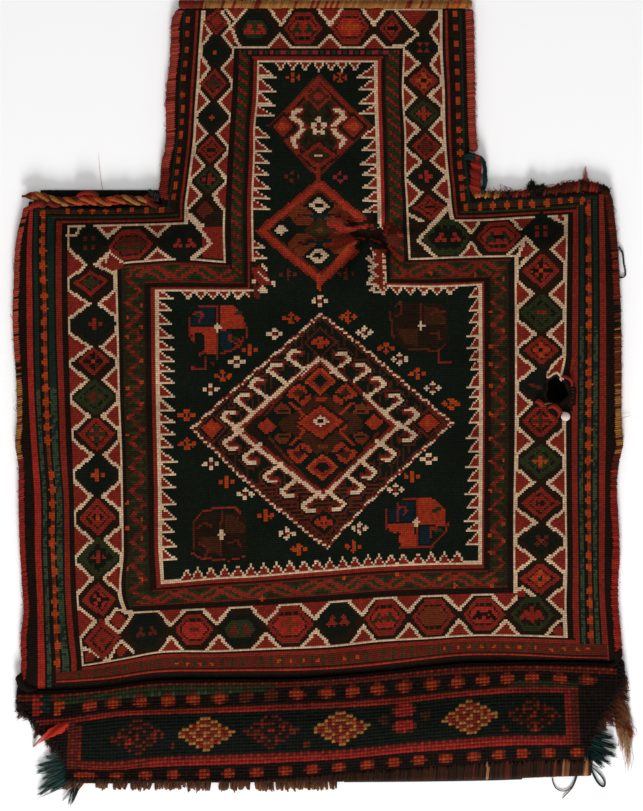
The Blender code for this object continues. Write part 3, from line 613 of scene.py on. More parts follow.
# TRIANGLES OF THE MAIN BORDER
# A red triangle with a stepped white outline: base on a white line, tip at a reach from it
def triangle(base, tip, halfBase, direction, edge=3.1):
    c0, r0 = inDrawing(*tip)
    if direction in ("right", "left"):
        reach = abs(c0[0] - base)
        off = np.abs(R - r0[0]) / halfBase
        depth = (C - base) / (c0[0] - base)
    else:
        reach = abs(r0[0] - base)
        off = np.abs(C - c0[0]) / halfBase
        depth = (R - base) / (r0[0] - base)
    share = off + depth
    here = (depth > 0) & (share < 1)
    slope = math.hypot(1 / halfBase, 1 / reach)
    cloth.paint("ivory", here)
    cloth.paint("madder", here & (1 - share > edge * slope))


triangles = [
    # base column or row, direction, half base, tips as seen
    (71.5, "right", 16.5, [(88.5, 265), (92, 304), (93, 347), (90.5, 380), (92, 416), (95, 455), (94, 496),
                           (95, 540), (95, 578), (98.5, 620)]),
    (118.5, "left", 15.5, [(95, 265), (97, 304), (99.5, 347), (101.5, 380), (100.5, 416), (102.5, 455),
                           (101, 496), (102.5, 540), (102, 578)]),
    (516.5, "right", 16.5, [(534, 294), (537, 334), (536.5, 368), (533, 404), (534, 441), (535, 482),
                            (538, 522), (536, 558)]),
    (564, "left", 16, [(549, 250), (547, 294), (545.5, 334), (549, 369), (544, 442), (545, 483), (544, 523),
                       (544, 559), (544.5, 599)]),
    (225, "left", 15.5, [(220.5, 36), (221, 69), (218, 102), (215.5, 134), (213.5, 166), (211.5, 196)]),
    (188, "right", 15.0, [(213, 34), (212, 69), (211, 102), (209, 134), (207, 166), (204, 196)]),
    (410.5, "right", 15.0, [(420, 64), (418, 98), (420, 130), (423, 162), (424, 193)]),
    (451, "left", 15.0, [(428, 33), (428, 65), (427.5, 96), (427.5, 130), (429, 161), (431.5, 190)]),
    (222, "down", 14, [(109, 239), (158, 239), (471, 235), (523, 235)]),
    (261, "up", 15, [(158, 247), (471, 240)]),
    (602, "down", 16.5, [(171, 627), (217, 625.5), (266, 624), (315, 620), (362, 617), (408, 614), (459, 611),
                         (505, 611)]),
    (645, "up", 15, [(171, 634), (219, 632.5), (266, 630.5), (316, 627), (363, 623), (409, 621), (459, 617.5),
                     (505.5, 617.5)]),
    (9, "down", 15, [(236, 24), (281, 28), (330, 28), (374, 28)]),
    (48.5, "up", 15, [(280, 32), (330, 34), (374, 34)]),
]
for base, direction, halfBase, tips in triangles:
    for tip in tips:
        triangle(base, tip, halfBase, direction)

# Corner pieces: white strokes round red
cornerStrokes = [
    [(106, 261), (110, 252), (118, 258), (123, 262)],
    [(96, 265), (103, 259), (106, 256)],
    [(517, 258), (525, 238), (537, 250), (523, 262), (517, 270)],
    [(508, 255), (525, 238)],
    [(105, 622), (117, 609), (134, 612)],
    [(105, 622), (119, 632), (133, 612)],
    [(83, 648), (92, 650), (103, 657), (108, 660)],
    [(109, 660), (117, 645), (122, 641), (134, 651)],
    [(545, 636), (556, 622), (565, 618)],
    [(516, 590), (523, 587), (536, 598)],
    [(552, 216), (558, 221), (565, 223)],
    [(68, 236), (77, 235), (80, 228)],
]
reds = [(117, 265, 6), (525, 251, 7), (119, 620, 7), (90, 656, 5), (122, 650, 5), (558, 631, 5),
        (521, 593, 4), (560, 218, 3)]
for column, row, reach in reds:
    cloth.spots("madder", [(column, row)], reach)
for points in cornerStrokes:
    cloth.stroke("ivory", points, 3.2)


# HEARTS OF THE LOZENGES
# A small figure of spots about a heart's middle
def figure(kind, dye, c, r):
    flat = {"flower": [(0, 0), (5, 0), (-5, 0), (0, 4), (0, -4)],
            "four": [(4, 3.4), (-4, 3.4), (4, -3.4), (-4, -3.4)], "eye": [(0, 0), (3, 0), (-3, 0)],
            "blobs": [(-8, 1), (-6, -3), (-4, 3), (8, 1), (6, -3), (4, 3), (10, 3), (-10, 3)],
            "cross": [(0, 0), (0, 3), (0, -3), (3, 0), (-3, 0), (0, 6), (0, -6), (7, 0), (-7, 0)],
            "dot": [(0, 0)]}[kind]
    cloth.spots(dye, [(c + dc, r + dr) for dc, dr in flat], 2.3, seen=False)


# Each is a lozenge, or a hexagon where flat is over 0, with a ring of another dye and small figures in it
lozenges = [
    # column, row as seen, half width, half height, flat, dye, ring dye, then figures
    (90, 243, 19, 15, 2, "night", "night", [("four", "dull")]),
    (131, 245, 21, 14.5, 8, "madder", "dull", [("blobs", "bottle"), ("cross", "dull")]),
    (184, 243, 23, 17, 9, "night", "night", [("blobs", "bright")]),
    (91, 283, 17, 15.5, 0, "madder", "dull", [("cross", "bottle"), ("eye", "bottle")]),
    (95, 324, 22, 20, 0, "night", "night", [("flower", "madder")]),
    (94, 361, 15, 13, 0, "madder", "dull", [("cross", "black"), ("dot", "flame")]),
    (95, 397, 20, 17, 0, "bottle", "bottle", [("flower", "dull")]),
    (97, 434, 18, 15, 0, "madder", "bright", [("cross", "bottle"), ("dot", "dull")]),
    (98, 475, 20, 19, 0, "night", "night", [("flower", "flame")]),
    (98, 517, 18, 16, 0, "madder", "madder", [("eye", "black"), ("dot", "flame")]),
    (99, 557, 22, 18, 0, "bottle", "night", [("flower", "madder")]),
    (100, 599, 18, 17, 0, "madder", "bright", [("cross", "black"), ("dot", "flame")]),
    (103, 639, 17, 18, 0, "madder", "madder", [("dot", "dull")]),
    (448, 238, 22, 17, 9, "bottle", "night", [("blobs", "bright")]),
    (498, 237, 22, 15, 8, "madder", "bright", [("blobs", "bottle"), ("eye", "black")]),
    (541, 231, 19, 17, 2, "night", "night", [("four", "madder")]),
    (541, 271, 18, 16, 0, "madder", "bright", [("cross", "black"), ("dot", "flame")]),
    (541, 313, 21, 18, 0, "bottle", "bottle", [("eye", "madder"), ("dot", "madder")]),
    (541, 350, 18, 13, 0, "madder", "bright", [("cross", "flame"), ("dot", "black")]),
    (541, 385, 22, 18, 0, "night", "night", []),
    (540, 421, 18, 16, 0, "madder", "bright", [("cross", "dull"), ("dot", "bottle")]),
    (540, 461, 21, 17, 0, "bottle", "bottle", [("flower", "flame")]),
    (540, 503, 18, 15, 0, "madder", "madder", [("eye", "umber")]),
    (541, 540, 19, 14, 0, "night", "night", [("four", "dull"), ("dot", "madder")]),
    (540, 578, 19, 15, 0, "madder", "bright", [("cross", "flame"), ("dot", "teal")]),
    (532, 614, 20, 16, 7, "bottle", "umber", [("blobs", "madder"), ("cross", "madder")]),
    (147, 630, 21, 15, 9, "night", "night", [("blobs", "dull")]),
    (194, 629, 19, 15, 7, "madder", "bright", [("eye", "dull")]),
    (240, 629, 21, 15, 9, "night", "bottle", [("blobs", "dull")]),
    (290, 624, 21, 17, 8, "madder", "bright", [("cross", "rust")]),
    (338, 620, 21, 15, 9, "night", "night", [("blobs", "madder")]),
    (385, 617, 21, 17, 8, "madder", "bright", [("blobs", "bottle"), ("eye", "dull")]),
    (433, 616, 21, 17, 8, "madder", "rust", [("blobs", "rust")]),
    (483, 614, 21, 16, 8, "madder", "bright", [("blobs", "black"), ("eye", "black")]),
    (255, 30, 20, 16, 8, "night", "bottle", [("blobs", "bright")]),
    (303, 29, 20, 15, 8, "madder", "bright", [("blobs", "bottle")]),
    (350, 28, 19, 16, 8, "madder", "bright", [("cross", "flame")]),
    (391, 29, 12, 13, 0, "madder", "bright", [("eye", "black")]),
    (217, 22, 15, 12, 0, "madder", "madder", []),
    (215, 53, 15, 14, 0, "night", "night", [("dot", "flame")]),
    (214, 84, 15, 13, 0, "madder", "dull", [("eye", "bottle")]),
    (212, 118, 15, 13, 0, "night", "night", [("dot", "flame")]),
    (211, 150, 14, 13, 0, "madder", "madder", [("eye", "umber")]),
    (209, 180, 14, 13, 0, "bottle", "night", [("flower", "madder")]),
    (205, 210, 16, 14, 0, "umber", "dull", [("eye", "dull")]),
    (423, 48, 16, 13, 0, "night", "night", [("four", "madder")]),
    (423.6, 81, 15, 12, 0, "madder", "bright", [("cross", "flame"), ("dot", "black")]),
    (423.6, 114, 15, 13, 0, "bottle", "bottle", [("flower", "bright")]),
    (425.8, 147, 14, 12, 0, "madder", "dull", [("eye", "dull")]),
    (425.8, 177, 16, 9, 0, "night", "night", [("flower", "bright")]),
    (430, 207, 16, 13, 0, "madder", "madder", [("eye", "black")]),
]
for column, row, halfWidth, halfHeight, flat, dye, ring, hearts in lozenges:
    c, r = onePlace(column, row)
    form = cloth.hexagon(c, r, halfWidth + 1, halfHeight + 1.5, flat)
    cloth.paint(dye, form < 1)
    cloth.paint("umber" if dye == "madder" else "black", (form < .68) & (form > .54))
    cloth.paint("dull" if dye == "madder" else dye,
                (form > .54) & (form < .68) & (np.sin((cloth.c - c) * .9) > .6))
    cloth.paint(ring, form < .54)
    for kind, heartDye in hearts:
        figure(kind, heartDye, c, r)
cloth.forms([
    ("ivory", 3.2, [(203, 226), (208, 243), (193, 258)]),
    ("ivory", 3.0, [(190, 215), (200, 224), (211, 244), (195, 257)]),
])
cloth.paint("madder", (C > 203) & (C < 224) & (R > 226) & (R < 259)
            & (cloth.away([(214, 226), (214, 259)]) < 9))
cloth.forms([
    ("ivory", 3.3, [(188, 216), (199, 228), (211, 244), (193, 259)]),
    ("ivory", 3.2, [(424, 234), (420, 242), (437, 258)]),
    ("ivory", 3.2, [(451, 205), (423, 235)]),
    ("ivory", 3.2, [(411, 214), (423, 221)]),
])

# Top right of the neck: an upended red triangle and two strokes
cloth.paint("madder", cloth.hexagon(421, 12, 16, 17) < 1)
cloth.forms([
    ("ivory", 3.2, [(396, 12), (409, 27), (418, 34), (404, 46), (393, 47)]),
    ("ivory", 2.2, [(385, 10), (440, 10)]),
    ("ivory", 3.4, [(222, 12), (228, 21), (240, 48)]),
])


# TEETH ROUND THE FIELD
# Along an upright frame a tooth's reach grows from 0 to its full depth between two tips and drops back level;
# along a level frame it is a plain zigzag. A tooth is white along its edge and red inside.
def sawTeeth(base, tips, depth, direction, edge=2.6):
    _, rows = inDrawing([base] * len(tips), tips)
    rows = np.concatenate([[2 * rows[0] - rows[1]], rows])
    step = np.clip(np.searchsorted(rows, R, side="left"), 1, len(rows) - 1)
    pitch = rows[step] - rows[step - 1]
    share = np.clip((R - rows[step - 1]) / pitch, 0, 1)
    past = direction * (C - base)
    here = (R > rows[0]) & (R <= rows[-1]) & (past > 0) & (past < depth * share)
    cloth.paint("ivory", here)
    cloth.paint("madder", here & (depth * share - past > edge) & ((1 - share) * pitch > 2.0))


def zigzagTeeth(base, tips, depth, direction, half=6.5, edge=2.2):
    columns = inDrawing(tips, [base] * len(tips))[0]
    off = np.abs(C[..., None] - columns).min(axis=-1)
    past = direction * (R - base)
    reach = depth * np.clip(1 - off / half, 0, 1)
    inside = (C > columns.min() - half) & (C < columns.max() + half)
    here = inside & (past > 0) & (past < reach)
    cloth.paint("ivory", here)
    cloth.paint("madder", here & (reach - past > edge * 1.3))


# base column, tips as seen, depth, direction
for teeth in (
        (159.8, [300, 312, 326, 339, 350, 362, 372, 383, 397, 412, 423, 435, 449, 462, 475, 489, 505, 520,
                 534, 547, 561], 15.5, 1),
        (478.2, [298, 311, 323, 336, 348, 360, 371, 387, 398, 410, 423, 438, 453, 467, 481, 494, 508, 521, 531,
                 545], 17, -1),
        (254.2, [78, 92, 106, 116], 19, 1), (254.2, [139, 152, 165, 176, 189, 199, 210], 18, 1),
        (254.2, [250, 260, 268, 279], 15, 1), (377.4, [78, 91, 105, 115], 18, -1),
        (377.4, [139, 152, 165, 176, 189, 201, 211], 16, -1), (378.6, [262, 270, 281], 13, -1)):
    sawTeeth(*teeth)
# base row, tips as seen, depth, direction
for teeth in (
        (290.3, [188, 201, 213, 225, 238, 250], 8, 1), (290.3, [383, 397, 410, 424, 437, 450], 8, 1),
        (62.8, [281, 293, 305, 319, 331, 342, 355], 9.5, 1),
        (568.8, [187, 198, 211, 225, 238, 251, 264, 277, 290, 304, 317, 330, 343, 355, 368, 379, 391, 403,
                 418, 431, 444, 457], 11, -1)):
    zigzagTeeth(*teeth)

# Broken corners where the neck opens: worn red with loose white bits
cloth.paint("night", cloth.box(252, 276, 281, 296))
cloth.forms([
    ("umber", 0, [(249, 262), (262, 262), (262, 299), (249, 299)]),
    ("madder", 0, [(252, 268), (260, 266), (268, 276), (272, 284), (262, 287), (254, 279)]),
    ("dull", 0, [(253, 284), (261, 286), (259, 300), (255, 298)]),
    ("ivory", 2.8, [(262, 266), (267, 270)]),
    ("ivory", 2.4, [(259, 273), (268, 281)]),
])
cloth.spots("ivory", [(254.5, 281.5), (263, 288.5), (261, 291), (266, 291), (273.5, 284)], 2.3)
cloth.forms([
    ("ivory", 2.6, [(240, 296), (246, 291), (252, 291)]),
])

# FIELD FIGURES


# A flower: four petals round a heart
def flower(places, petal, heart, reach=6.0, petalReach=2.5):
    for column, row in places:
        for dc, dr in ((reach, 0), (-reach, 0), (0, reach * .62), (0, -reach * .62)):
            cloth.spots(petal, [(column + dc, row + dr)], petalReach)
        cloth.spots(heart, [(column, row)], 2.0)


flower([(320, 301), (275, 334), (237, 362), (211, 389), (211, 464), (245.5, 494), (287, 533), (364, 332.5),
        (399.5, 359), (432.5, 388), (428.5, 459), (395.5, 489.5), (359.5, 528)], "ivory", "madder")
flower([(291, 318.5), (348, 317), (250, 350), (223, 376), (187, 415), (187.5, 444), (227, 482), (265.5, 515.5),
        (299.5, 549), (386, 348), (417, 374), (450.5, 403.5), (412, 476), (353.5, 546)], "flame", "flame")
flower([(288, 275), (346, 275)], "dull", "dull", 6.5, 2.0)
flower([(293, 78), (340, 78)], "flame", "dull", 5.5, 2.2)
flower([(340, 177)], "pink", "night", 6.0, 2.2)
flower([(292, 177)], "dull", "night", 6.0, 1.8)

# The medallion: three rings of straight sides, each given by its top, left, foot and right points
medallion = {
    "outer": ((320.5, 314), (192.5, 428), (327, 547), (452, 424)),
    "band": ((320, 358), (235, 429), (324, 497), (399, 423)),
    "dark": ((320, 370), (253, 427), (322, 486), (386, 423)),
}


# 1 on a ring: |dc| over that side's half width plus |dr| over the half height, about a centre that slides
# from the top point to the middle of the two side points
def ringShare(points):
    (c0, top), (left, r1), (c2, foot), (right, _) = [onePlace(*place) for place in points]
    r = np.where(R < r1, (r1 - R) / (r1 - top), (R - r1) / (foot - r1))
    centre = np.where(R < r1, c0 + ((right + left) / 2 - c0) * (1 - np.clip(r, 0, 1)), (c0 + c2) / 2)
    side = np.where(C < centre, (centre - C) / (centre - left), (C - centre) / (right - centre))
    return side + r


outerRing = ringShare(medallion["outer"])
bandRing = ringShare(medallion["band"])
darkRing = ringShare(medallion["dark"])
cloth.paint("umber", outerRing < 1)
ringDim = (outerRing < .955) & (bandRing > 1.05)
cloth.paint("night", ringDim)
cloth.paint("sepia", ringDim & (np.sin(C * 1.05) > .75) & (np.sin(R * .22 + C * .3) > 0))
cloth.paint("dull", ringDim & (R > 480) & (np.sin(R * 1.5 + C * .1) > .3))
cloth.paint("dull", np.abs(outerRing - .965) < .01)
dash = ((R + .5 * C) % 5.2) < 3.0
cloth.paint("madder", (np.abs(outerRing - 1) < .017))
cloth.paint("ivory", (np.abs(outerRing - 1) < .017) & dash)
cloth.paint("madder", (bandRing < 1.06) & (bandRing > .9))
cloth.paint("ivory", (np.abs(bandRing - 1) < .036))
cloth.paint("madder", (np.abs(bandRing - .93) < .02))
cloth.paint("night", darkRing < 1)

# White latch hooks: middles and which way each leans; each is a bent stroke from the band
hooks = [
    (1, -1, [(291, 358), (272, 371), (254, 386), (240, 401), (226, 418)]),
    (-1, -1, [(346, 360), (365, 371), (381, 385), (398, 401), (414, 416)]),
    (1, 1, [(228, 442), (247, 456), (268, 475), (285, 490), (306, 504.5)]),
    (-1, 1, [(411, 434), (391, 453), (372, 471), (359, 486), (341, 503)]),
]
hookShape = [(14, -12), (2, -3.5), (-4, 0.5), (1, 6.5), (8, 6)]
for leanC, leanR, middles in hooks:
    for column, row in middles:
        points = [(column + leanC * dc, row + leanR * dr) for dc, dr in hookShape]
        cloth.stroke("dull", points[1:], 10.6, outerRing < .95)
        cloth.stroke("night", points[1:], 7.8, outerRing < .96)
        cloth.stroke("madder", [(c + leanC * 2.5, r - leanR * .5) for c, r in points[1:]], 4.6)
    for column, row in middles:
        points = [(column + leanC * dc, row + leanR * dr) for dc, dr in hookShape]
        cloth.stroke("ivory", points, 3.6)


# A filled lozenge about a place in the cloth
def lozenge(dye, column, row, halfWidth, halfHeight):
    cloth.paint(dye, cloth.hexagon(*onePlace(column, row), halfWidth, halfHeight) < 1)


# Lozenges inside one another, the widest first
def nest(column, row, rings):
    for dye, halfWidth, halfHeight in rings:
        lozenge(dye, column, row, halfWidth, halfHeight)


# Inside the medallion: a spot in a flame lozenge, hollow lozenges, horns and petals
lozenge("sepia", 322, 424, 46, 34)
heart = [
    ("night", 0, [(5, 34), (17, 20), (28, 11), (44, 6), (54, 6), (30, 42), (18, 44)]),
    ("ember", 0, [(13, 22), (19, 18), (27, 25), (35, 27), (33, 33), (24, 40), (18, 37), (10, 27)]),
    ("sepia", 0, [(17, 24), (25, 28), (30, 29), (24, 36), (18, 31)]),
    ("night", 2.4, [(11, 31), (20, 27), (22, 23)]),
    ("ember", 2.8, [(31, 21), (23, 14), (18, 8), (24, 2)]),
    ("rust", 0, [(31, 10), (36, 9), (45, 9), (48, 15), (40, 21), (33, 18)]),
    ("night", 2.2, [(35, 13), (42, 13)]),
    ("dull", 2.4, [(56, 9), (44, 24), (30, 40), (16, 54)]),
]
for side in (-1, 1):
    for way in (-1, 1):
        cloth.forms(heart, (322, 423.5), side, way)
for column, row in ((320.5, 381), (322.5, 467)):
    nest(column, row, [("night", 19, 16.5), ("flame", 16, 14), ("madder", 12.5, 10.5), ("night", 7.5, 6.5)])
for column, row in ((267, 426), (374, 422)):
    nest(column, row, [("night", 13, 12), ("ember", 9.5, 8.5)])
lozenge("umber", 322, 422, 27, 20)
lozenge("ember", 321, 422, 23, 17)
lozenge("madder", 321, 421.5, 15, 11)
lozenge("ivory", 321, 421, 9, 5.5)
cloth.spots("black", [(319.5, 421), (322.5, 421)], 1.6)
cloth.stroke("ember", [(318, 399), (324, 399)], 5.0)
cloth.stroke("rust", [(320, 447), (326, 447)], 4.0)
for column, row in ((320.5, 342.5), (324, 522), (212, 428), (428, 423)):
    nest(column, row, [("dull", 17, 16), ("night", 14, 13)])
flower([(320.5, 342.5), (324, 522)], "ember", "flame", 5.5, 3.2)
for column, row in ((212, 428), (428, 423)):
    lozenge("ember", column, row, 11, 10)
    cloth.spots("flame", [(column, row)], 3.0)

# Corner octagons quartered in two dyes, with hooks in the dark quarters, each drawn about its middle
octagons = [
    (217.5, 327, [
        ("ember", 0, [(2, -22), (14, -22), (20, -18), (27, -9), (28, 2), (2, 3)]),
        ("ember", 0, [(-27, -1), (-2, -1), (-1.5, 27), (-9, 28), (-13, 25), (-14, 5), (-27, 5)]),
        ("blue", 0, [(-15, -20), (-4, -20), (-4, -2), (-26, -2), (-26, -6), (-22, -12)]),
        ("blue", 0, [(3, 3), (15, 3), (15, 23), (4, 24)]),
        ("madder", 2.2, [(-18, -21), (-3, -20)]),
        ("madder", 2.2, [(-24, -12), (-19, -16), (-14, -12), (-18, -6)]),
        ("madder", 2.2, [(-28.5, -8), (-28, 8), (-24, 14)]), ("bottle", 4.0, [(-20, -11), (-19, -11)]),
        ("madder", 2.2, [(0, -20), (0, -6)]), ("rust", 2.2, [(0, 7), (.5, 33)]),
        ("madder", 2.4, [(3, 26), (13, 24), (23, 18), (26, 11)]),
        ("madder", 2.6, [(20, 18), (11, 11), (13, 9), (22, 14)]), ("bottle", 4.0, [(17, 11), (19, 12)]),
        ("bottle", 4.4, [(19, -13), (22, -14)]), ("night", 6.0, [(-18, 12), (-19, 20)]),
        ("madder", 2.2, [(28, -1), (29, 3), (29, 10)]), ("madder", 2.4, [(-13, 25), (-18, 27), (-18, 29)]),
        ("madder", 2.0, [(-11, 30), (-11, 41), (-25, 41)]), ("dull", 2.6, [(-5, 35), (-4, 38)]),
        ("ember", 2.4, [(-25, 4), (-24, 12)]),
    ]),
    (416.5, 522, [
        ("ember", 0, [(2, -25), (14, -25), (22, -20), (29, -12), (29, 4), (9, 2), (2, 2)]),
        ("ember", 0, [(-29, 1), (-2, 1), (-1, 24), (-16, 25), (-18, 12), (-28, 8)]),
        ("blue", 0, [(-14, -21), (-3, -21), (-3, -2), (-27, -1), (-27, -11), (-20, -14)]),
        ("blue", 0, [(3, 5), (14, 5), (14, 21), (4, 21)]),
        ("madder", 2.4, [(-18.5, -18), (-18.5, -2)]),
        ("madder", 2.2, [(-18, -14), (-12, -16), (-10, -11), (-13, -8)]),
        ("madder", 2.2, [(-31, -12), (-31, 6)]), ("madder", 2.2, [(-14, -23), (0, -24)]),
        ("madder", 2.2, [(0, -22), (0, -6)]), ("madder", 2.2, [(0, 6), (0, 25)]),
        ("bottle", 4.0, [(17, -11), (23, -14)]), ("madder", 2.6, [(14, 14), (14, 6), (20, 6)]),
        ("bottle", 4.0, [(19, 9), (24, 8)]), ("night", 5.0, [(-19, 12), (-20, 14)]),
        ("madder", 2.4, [(31, 1), (29, 9), (18, 20), (14, 25), (-16, 25)]),
    ]),
    (420.5, 326, [
        ("umber", 0, [(-28, -14), (-18, -22), (20, -22), (28, -14), (28, 14), (18, 22), (-18, 22), (-28, 14)]),
        ("sepia", 0, [(3, -20), (18, -18), (25, -8), (25, -1), (3, -1)]),
        ("sepia", 0, [(-25, 2), (-2, 2), (-2, 20), (-16, 18)]),
        ("dull", 2.0, [(-30, -14), (-29, 8), (-26, 12)]),
        ("dull", 2.0, [(-25, -20), (-19, -24), (-19, -12), (-25, -10)]), ("dull", 2.0, [(0, -22), (0, -6)]),
        ("dull", 2.0, [(-12, 24), (18, 24), (24, 19)]), ("madder", 1.8, [(18, 24), (17, 36), (30, 37)]),
        ("dull", 2.2, [(10, -12), (16, -15), (24, -14)]), ("dull", 2.0, [(10, 8), (19, 6), (19, 14)]),
    ]),
    (221.5, 534, [
        ("umber", 0, [(-26, -14), (-16, -22), (18, -22), (26, -14), (26, 14), (16, 22), (-16, 22), (-26, 14)]),
        ("sepia", 0, [(3, -20), (16, -18), (24, -8), (24, -1), (3, -1)]),
        ("sepia", 0, [(-24, 2), (-2, 2), (-2, 20), (-14, 18)]),
        ("madder", 2.0, [(-26, -15), (-17, -24), (-2, -26), (14, -27), (20, -20)]),
        ("dull", 2.0, [(-28, -12), (-28, 14)]), ("dull", 2.0, [(0, -22), (0, 22)]),
        ("dull", 2.2, [(-24, -6), (-17, -12), (-10, -8)]), ("dull", 2.2, [(-22, 9), (-12, 14), (-16, 22)]),
        ("madder", 1.8, [(-30, 18), (-20, 24), (8, 26), (24, 22)]), ("dull", 2.2, [(8, 8), (16, 6), (20, 13)]),
    ]),
]
whiteCross = [("ivory", 3.6, [(0, -3), (0, 3.5)]), ("ivory", 2.6, [(-2.5, 0), (3, 0)])]
for column, row, marks in octagons:
    cloth.forms(marks + whiteCross, (column, row))

# Neck field: the upper medallion with its white hooked figures, and the lower lozenge
nest(318, 126, [("dull", 54, 52), ("madder", 51, 49.5), ("umber", 45, 44), ("dull", 42, 41),
                ("olive", 37, 36)])
nest(318, 97, [("madder", 15, 13.5), ("sepia", 11.5, 10), ("madder", 6, 5)])
hooked = [(18, 110.5), (24, 113), (26, 118), (19, 122), (14.5, 128.5), (20, 136), (26, 140), (22, 147)]
for side in (-1, 1):
    nest(318 + side * 35, 127, [("umber", 15, 15), ("madder", 11, 11), ("flame", 6.5, 5.5)])
    cloth.forms([
        ("madder", 8.4, hooked), ("umber", 4.5, [(9, 107), (12, 114), (8, 118)]),
        ("ivory", 4.4, hooked), ("umber", 4.0, [(6, 141), (11, 136), (13, 143)]),
    ], (318, 0), side)
cloth.stroke("madder", [(303, 128.5), (334, 128.5)], 2.6)
cloth.spots("ivory", [(318.5, 120), (313.5, 125.5), (323.5, 125.5), (315, 132.5), (321.5, 132.5)], 3.0)
cloth.spots("dull", [(318.5, 126.5), (318.5, 135)], 2.2)
nest(318, 156, [("umber", 21, 17), ("madder", 18, 14), ("sepia", 12, 9)])
cloth.stroke("ivory", [(315, 156), (321, 156)], 3.0)
cloth.stroke("madder", [(318, 166), (318, 176)], 5.0)

nest(319, 231, [("madder", 66, 54), ("ember", 62, 50.5), ("dull", 54, 44), ("night", 50, 40.5)])
for dc, dr in ((-17, -15), (-17, 14), (15, -16), (16, 14)):
    cloth.paint("rust", cloth.hexagon(float(inDrawing(319 + dc, 230)[0][0]),
                                      float(inDrawing(319, 230 + dr)[1][0]), 15, 11, 6) < 1)
    cloth.stroke("umber", [(319 + dc - 4, 230 + dr), (319 + dc + 4, 230 + dr)], 2.4)
    cloth.stroke("dull", [(319 + dc - 9, 230 + dr + 5), (319 + dc + 7, 230 + dr - 5)], 2.2)
cloth.patch("rust", [(330, 214), (352, 222), (362, 230), (350, 240), (334, 252), (326, 240), (326, 222)])
cloth.stroke("madder", [(334, 222), (346, 226)], 4.0)
cloth.stroke("madder", [(332, 232), (348, 232)], 3.6)
nest(318, 230, [("sepia", 16, 13), ("bottle", 8, 6), ("rust", 4, 3)])
for column, row, halfWidth, halfHeight in ((318, 205, 10.5, 8), (317, 257, 11, 8.5), (281, 230.5, 6.5, 5.5)):
    nest(column, row, [("night", halfWidth + 5.5, halfHeight + 5), ("ivory", halfWidth, halfHeight)])
cloth.stroke("black", [(315, 205), (320, 205)], 3.6)
cloth.stroke("black", [(313.5, 257), (318.5, 257)], 4.0)
cloth.stroke("blue", [(308, 215), (318, 217), (328, 214)], 3.4)
cloth.stroke("blue", [(307, 241), (318, 244), (328, 241)], 3.4)
cloth.stroke("flame", [(318, 276), (319, 290)], 2.6)

# The pucker: the lozenge's right corner and the frame beside it are drawn into a slit, whose dark is painted
# shade in black
cloth.forms([
    ("night", 0, [(364, 214), (380, 222), (380, 229), (366, 226)]),
    ("night", 0, [(352, 246), (366, 240), (380, 240), (376, 252), (364, 258)]),
    ("umber", 0, [(342, 222), (372, 214), (376, 222), (374, 228), (350, 230)]),
    ("bright", 4.2, [(326, 224), (340, 228), (352, 227), (364, 225), (372, 223)]),
    ("madder", 3.0, [(330, 219), (344, 216), (356, 219), (366, 216)]),
    # painted shade: a black patch along the slit and to its right, where the fold lies in shade
    ("black", 0, [(349, 234), (356, 229.5), (367, 228.5), (377, 230), (388, 236), (386, 246), (376, 246),
                  (366, 240), (356, 238)]),
    ("bright", 3.6, [(329, 246), (340, 245), (350, 240), (358, 237.5), (364, 239)]),
    ("ember", 5.0, [(318, 284), (334, 266), (346, 252), (354, 243)]),
    ("madder", 2.6, [(371, 240.5), (378, 243), (383, 247)]),
    ("dull", 0, [(383, 222), (391, 219), (401, 228), (405, 240), (398, 252), (388, 246), (386, 234)]),
    ("bright", 4.0, [(389, 225), (388, 230), (386, 234)]),
    ("bright", 3.6, [(401, 234), (404, 236)]),
    ("ember", 3.2, [(390, 248), (396, 256), (402, 262)]),
    ("bottle", 3.0, [(396, 218), (400, 226)]),
    ("umber", 0, [(376, 246), (386, 246), (386, 252), (377, 252)]),
    ("madder", 0, [(372, 252), (387, 252), (386, 288), (374, 287), (372, 278), (374, 268), (372, 260)]),
    ("ivory", 2.6, [(371, 253), (374, 258), (369, 263), (376, 267), (370, 272), (377, 277), (367, 284),
                    (377, 286), (371, 291), (379, 293)]),
    ("ivory", 2.8, [(384, 258), (384.5, 289)]),
])
cloth.spots("madder", [(384.5, 261 + 5.2 * k) for k in range(6)], 1.4)
cloth.spots("ivory", [(380.5, 228.5)], 3.0)
cloth.forms([
    ("ivory", 2.4, [(370, 252), (372, 259), (367, 261)]),
    ("ivory", 2.6, [(380, 217), (380.5, 222)]),
])

# Bare dark warps round the hole, and the worn end of the lozenge beside it
cloth.forms([
    ("black", 0, [(541, 371), (564, 372), (574, 382), (576, 400), (572, 412), (561, 412), (551, 404),
                  (541, 400)]),
    ("night", 0, [(526, 384), (541, 372), (546, 392), (540, 400)]),
    ("ivory", 2.8, [(549, 370.5), (567, 370.5)]),
    ("dull", 3.0, [(530, 385), (540, 388)]),
    ("bright", 4.0, [(537, 401), (543, 406)]),
    ("ember", 3.0, [(548, 414), (553, 422)]),
])

# Foot bands between the lower white line and the groove
footBands = [(646.5, 649, "black"), (649, 651.6, "madder"), (653.2, 656, "dull"), (657.2, 664, "dull"),
             (664, 665.6, "umber"), (665.6, 668.6, "bright"), (668.6, 690, "black")]
for low, high, dye in footBands:
    first, last = (71.5, 574) if low < 652 else (44, 604)
    cloth.paint(dye, (R >= low) & (R < high) & (C > first) & (C < last))
cloth.paint("bottle", (C > 66) & (C < 570) & (R > 653) & (R < 664) & ((C % 9.5) < 1.6))
cloth.spots("flame", [(177, 663), (188, 663), (200, 663), (212, 663), (279, 660), (291, 660), (304, 660),
                      (318, 660), (344, 658), (357, 656), (444, 648), (458, 647), (469, 646.5), (481, 646.5),
                      (494, 646.5), (507, 646.5), (519, 646.5), (535, 647), (551, 649), (564, 648),
                      (577, 649), (588, 648)], 1.9)
print("pattern drawn on", cloth.dye.size, "stitches")


